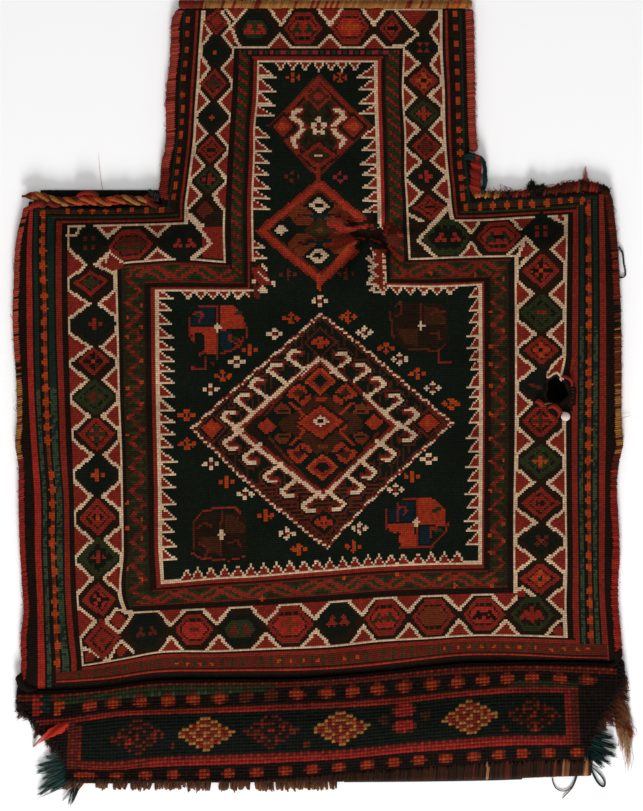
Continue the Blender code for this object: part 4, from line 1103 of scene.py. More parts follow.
# HEIGHT OF THE FRONT
swell = {
    "seat": 0.0023,  # underside of the front at its seams
    "thick": 0.0028,
    "lift": 0.0080,
    "ramp": 0.040,
    "shoulderY": 0.2,
    "neckRow": 190,  # the last row read on the neck's own edges
    "neckColumns": (163.0, 474.0),
    "footRow": 778.0,
    "slack": (0.0007, 0.085, 0.065),
    "puckerAt": (0.0326, 0.170),
    "puckerReach": 0.022,
    "puckerDepth": 0.0050,
    "foldCount": 7,
    "foldHeight": 0.0016,
}


# Lift grows from 0 at the seams to 1 a ramp's width in: the product of eased distances over the ramp, eased
# again round the two notches beside the neck
def seamLift(x, y):
    column = x / drawing["square"] + drawing["midColumn"]
    row = drawing["midRow"] - y / drawing["square"]
    warp = dict(lie["warps"])
    left = (column - stations(row, warp[19])) * drawing["square"]
    right = (stations(row, warp[616]) - column) * drawing["square"]
    foot = y - toY(swell["footRow"])
    neckLeft = toX(stations(np.minimum(row, swell["neckRow"]), warp[162.3]))
    neckRight = toX(stations(np.minimum(row, swell["neckRow"]), warp[472.7]))
    below = swell["shoulderY"] - y
    notchLeft = np.hypot(np.maximum(x - neckLeft, 0), np.maximum(below, 0))
    notchRight = np.hypot(np.maximum(neckRight - x, 0), np.maximum(below, 0))
    ramp = swell["ramp"]
    inBody = y < swell["shoulderY"]
    lift = np.where(inBody, easeIn(left / ramp) * easeIn(right / ramp), 1.0) * easeIn(foot / ramp)
    lift = lift * easeIn(notchLeft / ramp) * easeIn(notchRight / ramp)
    outside = (x < toX(swell["neckColumns"][0])) | (x > toX(swell["neckColumns"][1]))
    return np.where(outside & inBody, lift * easeIn(below / ramp), lift)


# Underside: seat + lift * (pocket + slack waves) - pucker pit + folds round it
def underside(x, y):
    lift = seamLift(x, y)
    slack, lengthX, lengthY = swell["slack"]
    wave = np.sin(tau * x / lengthX) * np.cos(tau * y / lengthY)
    fromX, fromY = x - swell["puckerAt"][0], y - swell["puckerAt"][1]
    reach = np.hypot(fromX, fromY) / swell["puckerReach"]
    folds = np.cos(swell["foldCount"] * np.arctan2(fromY, fromX)) * reach * np.exp(1 - reach**2)
    height = swell["seat"] + lift * (swell["lift"] + slack * wave)
    height = height - swell["puckerDepth"] * lift * np.exp(-(reach**2)) + swell["foldHeight"] * lift * folds
    return np.maximum(height, swell["seat"])


# A closed sheet from a grid of places: fine faces on top, one large face to each cell below and a wall round
# the rim. there tells which cells are woven; shown holds a colour for each face corner on top.
def sheetPiece(name, there, cells, X, Y, top, bottom, shown, plain, finish):
    tall, wide = X.shape[0] - 1, X.shape[1] - 1
    index = np.arange(X.size).reshape(X.shape)
    fine = np.repeat(np.repeat(there, cells, 0), cells, 1)
    topFaces = np.stack([index[1:, :-1], index[1:, 1:], index[:-1, 1:], index[:-1, :-1]], -1)[fine]
    around = np.pad(there, 1)
    lower, wall = [], []
    for row, column in np.argwhere(there):
        r0, c0 = row * cells, column * cells
        sides = (
            (not around[row, column + 1], index[r0, c0:c0 + cells + 1]),
            (not around[row + 1, column + 2], index[r0:r0 + cells + 1, c0 + cells]),
            (not around[row + 2, column + 1], index[r0 + cells, c0:c0 + cells + 1][::-1]),
            (not around[row + 1, column], index[r0:r0 + cells + 1, c0][::-1]),
        )
        lower.append(np.concatenate([side[:-1] if free else side[:1] for free, side in sides]) + X.size)
        wall += [np.stack([side[:-1], side[1:], side[1:] + X.size, side[:-1] + X.size], -1)
                 for free, side in sides if free]
    wall = np.concatenate(wall)
    corners = np.concatenate([topFaces.ravel(), *lower, wall.ravel()])
    used, renumbered = np.unique(corners, return_inverse=True)
    renumbered = renumbered.ravel()
    edge = topFaces.size + sum(len(face) for face in lower)
    cuts = np.cumsum([0] + [len(face) for face in lower]) + topFaces.size
    faces = renumbered[:topFaces.size].reshape(-1, 4).tolist()
    faces += [renumbered[a:b].tolist() for a, b in zip(cuts, cuts[1:])]
    faces += renumbered[edge:].reshape(-1, 4).tolist()
    height = np.stack([top, bottom])
    points = np.stack([np.stack([X, X]), np.stack([Y, Y]), height], -1).reshape(-1, 3)[used]
    rest = np.tile(plain, (len(corners) - topFaces.size, 1))
    share = np.stack([(index % (wide + 1)) / wide, 1 - (index // (wide + 1)) / tall], -1).reshape(-1, 2)
    return addPiece(name, points, faces, np.concatenate([shown[fine].reshape(-1, 3), rest]),
                    share[corners % X.size], finish)


# THE FRONT WEAVE
pull = {"reach": 26.0, "strength": 4.0, "ease": .6, "slit": (366, 234.5, 15, 4.0), "slitDepth": 0.0055,
        "creases": (11, 0.0009)}
hole = {"at": (556.0, 391.0), "half": (10.2, 13.0), "ease": 1.6, "rim": 0.0009}


# Places in squares drawn towards the pucker, and opened round the worn hole
def strain(column, row):
    c0, r0, halfLength, _ = pull["slit"]
    dc = column - np.clip(column, c0 - halfLength, c0 + halfLength)
    dr = row - r0
    away = np.hypot(dc, dr) + 1e-6
    draw = pull["strength"] * (away / pull["reach"]) * np.exp(1 - (away / pull["reach"]) ** 1.5) * pull["ease"]
    column = column - draw * dc / away
    row = row - draw * dr / away
    return column, row


cells = front["cell"]
wide, tall = len(stitchColumns) - 1, len(stitchRows) - 1
cellsWide, cellsTall = wide // cells, tall // cells
neckCells = front["neckStitches"] // cells
there = np.ones((cellsTall, cellsWide), bool)
there[:neckCells, :front["neckCells"][0]] = False
there[:neckCells, front["neckCells"][1]:] = False
hc0, hc1, hr0, hr1 = front["holeCells"]
there[neckCells + hr0:neckCells + hr1, hc0:hc1] = False

cornerC, cornerR = np.meshgrid(stitchColumns, stitchRows)
seenC, seenR = layOut(cornerC, cornerR)
seenC, seenR = strain(seenC, seenR)

# The hole's rim: a block of missing stitches eased out to an oval
blockC = (stitchColumns[hc0 * cells] + stitchColumns[hc1 * cells]) / 2
blockR = (stitchRows[(neckCells + hr0) * cells] + stitchRows[(neckCells + hr1) * cells]) / 2
halfC = (stitchColumns[hc1 * cells] - stitchColumns[hc0 * cells]) / 2
halfR = (stitchRows[(neckCells + hr1) * cells] - stitchRows[(neckCells + hr0) * cells]) / 2
square = np.maximum(np.abs(cornerC - blockC) / halfC, np.abs(cornerR - blockR) / halfR)
angle = np.arctan2((cornerR - blockR) / halfR, (cornerC - blockC) / halfC)
ragged = 1 + .10 * np.sin(3 * angle + 1) + .07 * np.sin(7 * angle)
ovalC = hole["at"][0] + hole["half"][0] * ragged * np.cos(angle) * np.maximum(square, 1e-6)
ovalR = hole["at"][1] + hole["half"][1] * ragged * np.sin(angle) * np.maximum(square, 1e-6)
nearHole = 1 - easeIn((square - 1) / hole["ease"])
seenC = seenC + (ovalC - seenC) * nearHole
seenR = seenR + (ovalR - seenR) * nearHole

X, Y = toX(seenC), toY(seenR)
bottom = underside(X, Y)
slitC, slitR, slitHalf, slitWide = pull["slit"]
pastSlit = np.maximum(np.abs(seenC - slitC) - slitHalf * .6, 0)
slit = np.exp(-((pastSlit / 6) ** 2) - ((seenR - slitR) / slitWide) ** 2)
top = bottom + swell["thick"] - pull["slitDepth"] * slit
creases, creaseHeight = pull["creases"]
fromSlit = np.hypot(np.maximum(np.abs(seenC - slitC) - slitHalf * .5, 0), seenR - slitR) / pull["reach"]
bearing = np.arctan2(seenR - slitR, (seenC - slitC) * .6)
crease = np.cos(creases * bearing + 1.2 * np.sin(2 * bearing))
top = top + creaseHeight * crease * fromSlit * np.exp(1 - 1.6 * fromSlit)
top = top + hole["rim"] * np.exp(-((square - 1.15) / .35) ** 2)
fromRow, overRows, grooveDepth = front["groove"]
top = top - grooveDepth * easeIn((stitchRows[:, None] - fromRow) / overRows)

grains = np.random.default_rng(7)
stitchColours = dyeTable[cloth.dye]
abrash = 1 + .10 * np.sin(R / 9.0) * np.sin(R / 23.0 + C / 300.0)
stitchColours = stitchColours * (abrash * grains.normal(1, .09, C.shape).clip(.7, 1.3))[..., None]
stitchColours = np.repeat(stitchColours[:, :, None, :], 4, axis=2)
plainColour = dyeTable[dyeNames.index("umber")]
weaveLooks = {
    "fibreScale": 900.0, "patchScale": 45.0, "threadShade": .30, "stitchVary": .16, "fibreVary": .22,
    "patchVary": .18, "fibreLift": .5, "bump": .55, "bumpDepth": .0006, "roughness": .95, "sheen": .02,
}
weaveFinish = yarnFinish("patternedWeave", (wide, tall), weaveLooks)
frontWeave = sheetPiece("front_weave", there, cells, X, Y, top, bottom, stitchColours, plainColour,
                        weaveFinish)
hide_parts("front_panel")
print("front weave", len(frontWeave.data.polygons), "faces")


# THE KNOTTED BAND
# Knots in rows, each a small dome of cut pile. Rows count down from the groove, in the same squares.
band = {
    "columns": (19.0, 616.0, 168),
    "rows": (0.0, 102.0, 30),
    "steps": 4,
    "pile": 0.0014,
    "dome": 0.0007,
    "edges": {
        "left": [(680, 18), (706, 18), (712, 29), (720, 36), (735, 50), (750, 62), (765, 67), (790, 67)],
        "right": [(655, 620), (685, 621), (700, 612), (720, 600), (740, 592), (760, 584), (790, 580)],
    },
    "lie": {
        "warps": [(19, [(600, 18), (800, 18)]), (77, [(600, 77), (718, 77), (766, 75), (800, 75)]),
                  (320, [(600, 320), (800, 320)]), (575, [(600, 571), (690, 572), (757, 575), (800, 575)]),
                  (616, [(600, 617), (800, 617)])],
        "wefts": [
            (0, [(15, 691), (60, 690), (100, 687.5), (147, 681), (220, 679), (300, 678.5), (350, 674.5),
                 (400, 670), (430, 666.5), (453, 664), (500, 662.5), (606, 663.5), (620, 664.5)]),
            (6.4, [(15, 697), (60, 696), (100, 692), (147, 685.5), (220, 684), (300, 682.5), (350, 679),
                   (400, 674.5), (430, 671.5), (453, 669.5), (500, 667.5), (606, 670), (620, 671)]),
            (17, [(15, 710), (60, 709), (100, 704), (140, 702), (195, 699.5), (218, 698), (246, 696),
                  (297, 693), (352, 691), (378, 688.5), (404, 686), (431, 684), (457, 682), (483, 680),
                  (507, 677.5), (532, 676), (587, 680), (620, 682)]),
            (31.9, [(15, 724), (60, 722), (95, 717), (120, 713.5), (168, 711.5), (220, 710), (300, 707),
                    (350, 704.5), (400, 701), (453, 695), (500, 691), (576, 690), (620, 690)]),
            (80.7, [(15, 764), (75, 765.5), (120, 767), (147, 763.5), (220, 760), (300, 757), (350, 754),
                    (400, 748.5), (453, 744.5), (500, 741), (575, 740.5), (620, 740.5)]),
            (93.5, [(15, 775), (80, 775.5), (147, 775), (204, 774), (256, 772.5), (312, 769), (368, 764.5),
                    (419, 760), (474, 756.5), (522, 753), (576, 751.5), (620, 751.5)]),
            (102, [(15, 782), (150, 783), (220, 781), (300, 777), (350, 773), (400, 768.5), (453, 765),
                   (500, 761.5), (576, 760), (620, 760)]),
        ],
    },
}
knotColumns = np.linspace(*band["columns"][:2], band["columns"][2] + 1)
knotRows = np.linspace(*band["rows"][:2], band["rows"][2] + 1)
pile = Drawing((knotColumns[1:] + knotColumns[:-1]) / 2, (knotRows[1:] + knotRows[:-1]) / 2, "black",
               band["lie"])


# rounded spots along one row: |dc over half length|^2.5 + |dr over half height|^2.5 is 1 at the rim
def dashes(row, columns, halfLength, halfHeight, dye, rim="dull"):
    c, r = inDrawing(columns, [layOut(column, row, band["lie"])[1] for column in columns], band["lie"])
    off = np.abs(pile.c[..., None] - c).min(axis=-1)
    form = (off / halfLength) ** 2.5 + (np.abs(pile.r - row) / halfHeight) ** 2.5
    pile.paint(rim, form < 1.2)
    pile.paint(dye, form < .7)
    if dye == "ember":
        pile.paint("flame", form < .12)


everyOther = np.arange(band["columns"][2])[None, :] % 2 == 0
pile.paint("night", (pile.r > 34) & (pile.r < 78))
pile.paint("dull", np.abs(pile.r - 6.4) < 2.6)
pile.paint("madder", (np.abs(pile.r - 6.4) < 1.8) & everyOther)
pile.paint("bottle", (np.abs(pile.r - 10.6) < 2.4) & (pile.c < 275) & (pile.c > 60))
pile.paint("moss", (np.abs(pile.r - 10.6) < 1.8) & (pile.c < 235) & (pile.c > 100)
           & (np.sin(pile.c * .8) > .5))
pile.paint("bottle", (np.abs(pile.r - 23.4) < 2.2) & (pile.c > 508) & (pile.c < 584))
dashes(17.5, [90, 114, 141, 168, 194, 220, 297, 327, 352, 378, 404, 431, 457, 483, 507, 532, 560, 587], 7.6,
       5.4, "ember", "dull")
dashes(17.5, [246, 271], 7.4, 5.4, "dull", "sepia")
pile.paint("madder", np.abs(pile.r - 31.2) < 2.4)
pile.paint("bright", (np.abs(pile.r - 31.2) < 1.8) & (np.sin(pile.c * .05 + 2) > .3))
pile.paint("madder", (np.abs(pile.r - 80.7) < 5.0) & (pile.c > 71))
pile.paint("bright", (np.abs(pile.r - 81.6) < 2.8) & (pile.c > 150))
pile.paint("dull", (np.abs(pile.r - 78.0) < 1.8) & (pile.c > 71) & everyOther)
pile.paint("black", (pile.r > 34) & (pile.r < 76) & (pile.c < 71))
pile.paint("dull", (pile.r > 33) & (pile.r < 84) & (pile.c > 70.5) & (pile.c < 76.5))
pile.paint("dull", (pile.r > 38) & (pile.r < 84) & (pile.c > 76.5) & (pile.c < 84))
pile.paint("madder", (pile.r > 46) & (pile.r < 80) & (np.abs(pile.c - 81) < 2.4) & (np.sin(pile.r * .9) > -.2))
pile.paint("madder", (pile.r > 50) & (pile.r < 84) & (np.abs(pile.c - 73) < 2.4) & (np.sin(pile.r * .5) > 0))
pile.paint("madder", (pile.r > 33) & (pile.r < 84) & (pile.c > 566) & (pile.c < 572))
pile.paint("dull", (pile.r > 30) & (pile.r < 84) & (pile.c > 573) & (pile.c < 582))
pile.paint("black", (pile.r > 24) & (pile.c > 582))
dashes(93.5, [80, 90, 116, 145, 173, 204, 229, 256, 285, 312, 339, 367, 394, 419, 445, 474, 498, 522, 549,
              576],
       6.8, 4.8, "ember", "dull")
diamonds = [
    # column, row as seen, half width, half height, edge dye, inside dye
    (206, 733, 30, 18, "gold", "madder"), (341, 727.5, 31, 18, "gold", "madder"),
    (470, 716.5, 30, 18, "gold", "madder"), (138, 736, 29, 18, "dull", "umber"),
    (271, 730, 28, 18, "dull", "umber"), (534, 714, 29, 17, "dull", "umber"),
]
for column, row, halfWidth, halfHeight, edgeDye, inside in diamonds:
    form = pile.hexagon(*onePlace(column, row, band["lie"]), halfWidth, halfHeight)
    pile.paint(edgeDye, form < 1.0)
    pile.paint(inside, form < .84)
    pile.paint(edgeDye, (form < .60) & (form > .44))
    pile.paint("flame" if edgeDye == "gold" else "madder", (form < .74) & (form > .66) & everyOther)
    pile.paint("gold" if edgeDye == "gold" else "madder", form < .17)
dashes(41, [404], 11, 7.6, "bright", "dull")
dashes(57, [404], 10.5, 7.0, "bright", "dull")
dashes(49, [384, 425], 6.0, 4.6, "sepia", "umber")
pile.spots("bright", [(130, 742), (535, 726)], 3.5)
pile.spots("dull", [(307, 744), (173, 746), (504, 729)], 3.0)
pile.spots("bright", [(37, 704), (37, 712)], 5.0)
pile.spots("teal", [(46, 700), (46, 708)], 5.0)
pile.spots("flame", [(57, 707), (57, 712), (63, 705)], 4.0)

steps = band["steps"]
fineColumns = np.linspace(*band["columns"][:2], band["columns"][2] * steps + 1)
fineRows = np.linspace(*band["rows"][:2], band["rows"][2] * steps + 1)
bandC, bandR = layOut(*np.meshgrid(fineColumns, fineRows), band["lie"])
middleC, middleR = layOut(pile.c, pile.r, band["lie"])
knotThere = (middleC > np.interp(middleR, *np.array(band["edges"]["left"]).T))
knotThere &= middleC < np.interp(middleR, *np.array(band["edges"]["right"]).T)
knotDraw = np.random.default_rng(11)
X, Y = toX(bandC), toY(bandR)
s = (np.arange(X.shape[1]) % steps) / steps
t = (np.arange(X.shape[0]) % steps) / steps
dome = (1 - (2 * s[None, :] - 1) ** 4) * (1 - (2 * t[:, None] - 1) ** 4)
jitter = np.pad(knotDraw.normal(0, .22, pile.c.shape), ((0, 1), (0, 1)), mode="edge")
jitter = np.repeat(np.repeat(jitter, steps, 0), steps, 1)[:X.shape[0], :X.shape[1]]
rough = knotDraw.normal(0, .12, X.shape)
edgeEase = easeIn(fineRows / 5)[:, None] * easeIn((band["rows"][1] - fineRows) / 4 + .3)[:, None]
bandBottom = underside(X, Y)
bandTop = bandBottom + swell["thick"] + band["pile"] * edgeEase
bandTop = bandTop + band["dome"] * (dome * (1 + jitter) + rough * dome) * (.4 + .6 * edgeEase)
X = X + knotDraw.normal(0, .00006, X.shape)
Y = Y + knotDraw.normal(0, .00006, X.shape)
# painted shade: each knot's colour darkens towards its rim, in the gaps where the knots meet
depth = .42 + .58 * dome * (1 + .5 * rough)
tones = dyeTable[pile.dye] * knotDraw.normal(1, .13, pile.c.shape).clip(.6, 1.4)[..., None]
tones = np.repeat(np.repeat(tones, steps, 0), steps, 1)
cornerGapShade = np.stack([depth[1:, :-1], depth[1:, 1:], depth[:-1, 1:], depth[:-1, :-1]], -1)
bandShown = tones[:, :, None, :] * cornerGapShade[..., None]
pileLooks = {
    "fibreScale": 1400.0, "patchScale": 60.0, "threadShade": .12, "stitchVary": .12, "fibreVary": .35,
    "patchVary": .15, "fibreLift": 1.2, "bump": .6, "bumpDepth": .0006, "roughness": .95, "sheen": .03,
}
pileFinish = yarnFinish("knottedPile", (band["columns"][2] * steps, band["rows"][2] * steps), pileLooks)
pileBand = sheetPiece("pile_band", knotThere, steps, X, Y, bandTop, bandBottom, bandShown, plainColour,
                      pileFinish)
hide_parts("front_panel")
print("knotted band", len(pileBand.data.polygons), "faces")


# WRAPPED CORDS AND STRANDS
outline = {
    "left": [(205, 24), (215, 22), (230, 18), (250, 15), (280, 14), (300, 13), (340, 13.5), (360, 15),
             (400, 17), (430, 16.5), (445, 15), (457, 17.5), (500, 18.6), (551, 20), (590, 22.5), (610, 23.6),
             (640, 20.7), (661, 21.3), (675, 20.5), (686, 17.5), (700, 16.5), (709, 17)],
    "right": [(188, 606), (194, 611), (205, 613), (216, 614.5), (230, 616), (250, 618), (290, 620), (320, 621),
              (380, 621.5), (430, 622), (447, 623), (457, 620), (466, 618.5), (551, 619.5), (600, 618),
              (625, 620), (649, 622), (658, 623.5), (680, 625), (690, 624)],
    "neckLeft": [(0, 178), (10, 176), (20, 172), (40, 171), (60, 170), (80, 167.5), (100, 166), (140, 166),
                 (150, 165), (160, 162), (180, 160.5), (190, 159), (200, 161.5), (206, 163)],
    "neckRight": [(0, 472.8), (33, 474), (87, 475), (149, 477.6), (160, 479)],
}


# A closed tube from rings of points: rings[n, m] joined round m, with a flat cap at each end
def tube(name, rings, shown, finish):
    n, m = rings.shape[:2]
    index = np.arange(n * m).reshape(n, m)
    beside = np.roll(index, -1, axis=1)
    quads = np.stack([index[:-1], beside[:-1], beside[1:], index[1:]], -1).reshape(-1, 4)
    faces = quads.tolist() + [index[0][::-1].tolist(), index[-1].tolist()]
    corners = np.concatenate([quads.ravel(), index[0][::-1], index[-1]])
    uv = np.stack([corners // m / (n - 1), (corners % m) / m], -1)
    return addPiece(name, rings.reshape(-1, 3), faces, shown.reshape(-1, 3)[corners], uv, finish)


# An oval cord under turns of wool. Along it the radius is 1 + ridge (|sin(pi (turn - lean * side))| - 0.6),
# where side goes from 0 to 1 round the cord, and each turn has its own small swelling and tone, with painted
# shade darkening it towards the grooves between turns.
def wrappedCord(name, path, across, halfWide, halfTall, look, dyeOf, finish, seed):
    path = np.asarray(path, float)
    span = np.concatenate([[0], np.cumsum(np.linalg.norm(np.diff(path, axis=0), axis=1))])
    turns = max(3, int(span[-1] / look["pitch"]))
    s = np.linspace(0, 1, turns * look["steps"] + 1)
    centre = np.stack([np.interp(s * span[-1], span, path[:, k]) for k in range(3)], -1)
    wide = np.interp(s * span[-1], span, np.broadcast_to(halfWide, len(path)))
    tall = np.interp(s * span[-1], span, np.broadcast_to(halfTall, len(path)))
    draws = np.random.default_rng(seed)
    side = np.arange(look["sides"]) / look["sides"]
    turn = s[:, None] * turns - look["lean"] * np.cos(tau * side)[None, :]
    which = np.clip(turn.astype(int) + 1, 0, turns + 1)
    swells = draws.normal(0, look["uneven"], turns + 2)[which]
    radius = 1 + look["ridge"] * (np.abs(np.sin(math.pi * turn)) - .6) + swells
    ease = np.minimum(1, np.sqrt(np.clip(np.minimum(s, 1 - s) * span[-1] / look["round"], 0, 1)) + .15)
    radius = radius * ease[:, None]
    across = np.asarray(across, float)
    rings = (centre[:, None] + (np.cos(tau * side) * radius * wide[:, None])[..., None] * across
             + (np.sin(tau * side) * radius * tall[:, None])[..., None] * np.array([0, 0, 1.0]))
    rings[..., 2] = np.maximum(rings[..., 2], .0001)
    tone = draws.normal(1, look["vary"], turns + 2).clip(.55, 1.5)[which]
    # painted shade: each turn darkens towards the grooves between turns, by the look's shade value
    tone = tone * (1 - look["shade"] * (1 - np.abs(np.sin(math.pi * turn))))
    shown = dyeOf(centre[:, None] + 0 * rings, which, draws) * tone[..., None]
    if np.dot(np.cross(across, (0, 0, 1.0)), path[-1] - path[0]) < 0:
        rings, shown = rings[:, ::-1], shown[:, ::-1]
    return tube(name, rings, shown, finish)


# One dye for each stretch of drawing rows (or columns), with strays of the neighbouring stretch
def dyeByPlace(stretches, axis, strays=.12):
    def dyeOf(places, which, draws):
        x, y = places[..., 0] / drawing["square"], places[..., 1] / drawing["square"]
        at = drawing["midRow"] - y if axis == "row" else x + drawing["midColumn"]
        wander = draws.normal(0, 9, which.max() + 1)[which]
        stray = draws.random(which.max() + 1)[which] < strays
        ends = np.array([stretch[0] for stretch in stretches])
        kinds = np.array([dyeNames.index(stretch[1]) for stretch in stretches])
        place = np.clip(np.searchsorted(ends, at + wander * .4), 0, len(ends) - 1)
        other = np.clip(place + 1, 0, len(ends) - 1)
        return dyeTable[np.where(stray, kinds[other], kinds[place])]
    return dyeOf


cordLooks = {
    "fibreScale": 1500.0, "patchScale": 90.0, "threadShade": .10, "stitchVary": .06, "fibreVary": .30,
    "patchVary": .15, "fibreLift": 1.4, "bump": .5, "bumpDepth": .0005, "roughness": .95, "sheen": .03,
}
cordFinish = yarnFinish("wrappedWool", (300, 6), cordLooks)
wrap = {"pitch": 0.0014, "steps": 4, "sides": 14, "lean": .35, "ridge": .18, "uneven": .05, "vary": .16,
        "shade": .45, "round": .002}
seam = {"low": 0.0002, "high": 0.0056}


# Wool wrapped over both panels' edges, along an outline from one drawing row to another
def uprightBinding(name, node, edge, inward, width, rows, stretches, seed):
    places = np.linspace(rows[0], rows[1], 60)
    columns = stations(places, outline[edge]) + inward * width / 2
    middle = (seam["low"] + seam["high"]) / 2
    path = np.stack([toX(columns), toY(places), np.full(60, middle)], -1)
    made = wrappedCord(name, path, (1, 0, 0), width / 2 * drawing["square"], middle - seam["low"], wrap,
                       dyeByPlace(stretches, "row"), cordFinish, seed)
    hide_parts(node)


uprightBinding("side_wrap_left", "side_binding_left", "left", 1, 7.2, (683, 207),
               [(366, "rose"), (376, "umber"), (460, "gold"), (480, "madder"), (500, "bright"),
                (720, "bright")],
               21)
uprightBinding("side_wrap_right", "side_binding_right", "right", -1, 8.8, (657, 191),
               [(250, "dull"), (300, "madder"), (330, "umber"), (384, "rust"), (452, "gold"), (475, "dull"),
                (490, "madder"), (700, "bright")], 22)
uprightBinding("band_wrap_left", "band_binding_left", "left", 1, 9.0, (708, 684),
               [(900, "black")], 23)
uprightBinding("band_wrap_right", "band_binding_right", "right", -1, 10.0, (689, 658.5),
               [(900, "black")], 24)
uprightBinding("neck_wrap_left", "neck_binding_left", "neckLeft", 1, 10.5, (206, 9),
               [(168, "rose"), (900, "madder")], 25)
uprightBinding("neck_wool_right", "neck_binding_right", "neckRight", -1, 9.0, (152, 9),
               [(900, "rose")], 26)


# Seams that run across the bag: along the mouth and over the right shoulder
def crossBinding(name, node, places, halfWide, halfTall, middleZ, stretches, finish, seed, look=wrap):
    columns = np.linspace(places[0][0], places[-1][0], 60)
    rows = stations(columns, places)
    path = np.stack([toX(columns), toY(rows), np.broadcast_to(middleZ(toX(columns), toY(rows)), 60)], -1)
    made = wrappedCord(name, path, (0, 1, 0), halfWide, halfTall, look, dyeByPlace(stretches, "column"),
                       finish, seed)
    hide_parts(node)


goldFinish = yarnFinish("goldWool", (300, 6), cordLooks | {"patchVary": .25})
mouthWrap = wrap | {"pitch": 0.0019, "ridge": .10, "shade": .25, "lean": .5}
mouthRows = [(178.5, 4.6), (250, 5.4), (330, 5.0), (420, 5.2), (472, 4.4)]
crossBinding("mouth_wrap_front", "mouth_binding_front", mouthRows, .0028, .0020,
             lambda x, y: underside(x, toY(8.6)) + .0021,
             [(199, "madder"), (206, "rust"), (447, "gold"), (451, "madder"), (470, "amber"), (900, "gold")],
             goldFinish, 31, mouthWrap)
crossBinding("mouth_wrap_back", "mouth_binding_back", [(178.5, 2.2), (472, 2.2)], .0015, .00085,
             lambda x, y: .0010, [(900, "umber")], cordFinish, 32)
wornWrap = wrap | {"pitch": 0.0021, "ridge": .30, "uneven": .14, "vary": .3}
crossBinding("shoulder_wrap_right", "shoulder_binding_right",
             [(472, 195.2), (486, 195.4), (500, 195.4), (520, 194.6), (545, 192.4), (566, 188.8),
              (582, 186.8), (597, 188.6), (610, 192.6)],
             np.interp(np.linspace(472, 610, 60), [472, 545, 566, 600, 610],
                       [.0027, .0029, .0040, .0042, .0032]),
             .0026, lambda x, y: .0029,
             [(497, "gold"), (505, "dull"), (528, "madder"), (546, "night"), (566, "dull"), (576, "rust"),
              (597, "madder"), (900, "umber")], cordFinish, 33, wornWrap)


# Strands: each a thin closed tube along its own line. The ring at each place is radius (cos a * across +
# sin a * rise), where across is level and square to the line and rise is square to both.
def strands(name, lines, radii, tones, sides, finish):
    n, k = lines.shape[:2]
    lines[..., 2] = np.maximum(lines[..., 2], radii * 1.05 + .0001)
    along = np.gradient(lines, axis=1)
    along /= np.linalg.norm(along, axis=-1, keepdims=True) + 1e-12
    across = np.cross((0, 0, 1.0), along)
    across /= np.linalg.norm(across, axis=-1, keepdims=True) + 1e-12
    rise = np.cross(along, across)
    angle = tau * np.arange(sides) / sides
    turn = np.cos(angle)[:, None] * across[:, :, None] + np.sin(angle)[:, None] * rise[:, :, None]
    points = lines[:, :, None] + radii[..., None, None] * turn
    index = np.arange(n * k * sides).reshape(n, k, sides)
    beside = np.roll(index, -1, axis=2)
    quads = np.stack([index[:, :-1], beside[:, :-1], beside[:, 1:], index[:, 1:]], -1).reshape(-1, 4)
    caps = np.concatenate([index[:, 0, ::-1], index[:, -1]])
    corners = np.concatenate([quads.ravel(), caps.ravel()])
    place = np.stack([corners // sides % k / (k - 1), corners % sides / sides], -1)
    ringTones = np.repeat(tones[:, :, None], sides, axis=2).reshape(-1, 3)
    return addPiece(name, points.reshape(-1, 3), quads.tolist() + caps.tolist(), ringTones[corners], place,
                    finish)


# Locks of loose wool or hair: a lock's strands leave a stretch of the root line and draw together towards
# its tip: place = root + (tip - root) s, plus a wave that grows with s, on a height that falls to the ground
def locks(name, roots, tips, look, finish, seed, node=None):
    draws = np.random.default_rng(seed)
    steps = look["steps"]
    s = np.linspace(0, 1, steps)[None, :]
    count = look["each"] * len(tips)
    which = np.repeat(np.arange(len(tips)), look["each"])
    rootLine = np.array(roots, float)
    tipPlaces = np.array([tip[:2] for tip in tips], float)[which]
    share = (which + .5) / len(tips) + draws.normal(0, look["rootSpread"], count)
    at = np.clip(share, 0, 1) * (len(rootLine) - 1)
    start = np.stack([np.interp(at, np.arange(len(rootLine)), rootLine[:, k]) for k in (0, 1)], -1)
    start = start + draws.normal(0, look.get("rootJitter", 1.0), (count, 2))
    reach = draws.uniform(look["short"], 1.0, count)[:, None]
    end = start + (tipPlaces + draws.normal(0, look["tipSpread"], (count, 2)) - start) * reach
    bow = draws.normal(0, look["bow"], count)[:, None] + look.get("sweep", 0)
    wave = look["wave"] * np.sin(tau * (look["waves"] * s + draws.random((count, 1)))) * s
    offset = bow * np.sin(math.pi * s) + wave
    run = end - start
    square = np.stack([-run[:, 1], run[:, 0]], -1) / (np.linalg.norm(run, axis=1, keepdims=True) + 1e-9)
    place = start[:, None] + run[:, None] * s[..., None] + offset[..., None] * square[:, None]
    low, high = look["heights"]
    rootHeight = draws.uniform(low, high, (count, 1))
    tipHeight = draws.uniform(.0002, look["tipHeight"], (count, 1))
    height = rootHeight * (1 - s ** 1.4) + tipHeight * s
    lines = np.stack([toX(place[..., 0]), toY(place[..., 1]), height], -1)
    radii = look["radius"] * (1 - look["taper"] * s ** 2) * draws.uniform(.7, 1.3, (count, 1))
    rootDye, tipDye = (dyeTable[dyeNames.index(dye)] for dye in look["dyes"])
    blend = (s ** look.get("blendPower", 1.5) * draws.uniform(.4, 1.1, (count, 1)))[..., None].clip(0, 1)
    tones = (rootDye + (tipDye - rootDye) * blend) * draws.normal(1, .2, (count, 1, 1)).clip(.5, 1.6)
    made = strands(name, lines, radii, tones, look.get("sides", 5), finish)
    if node:
        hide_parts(node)
    return made


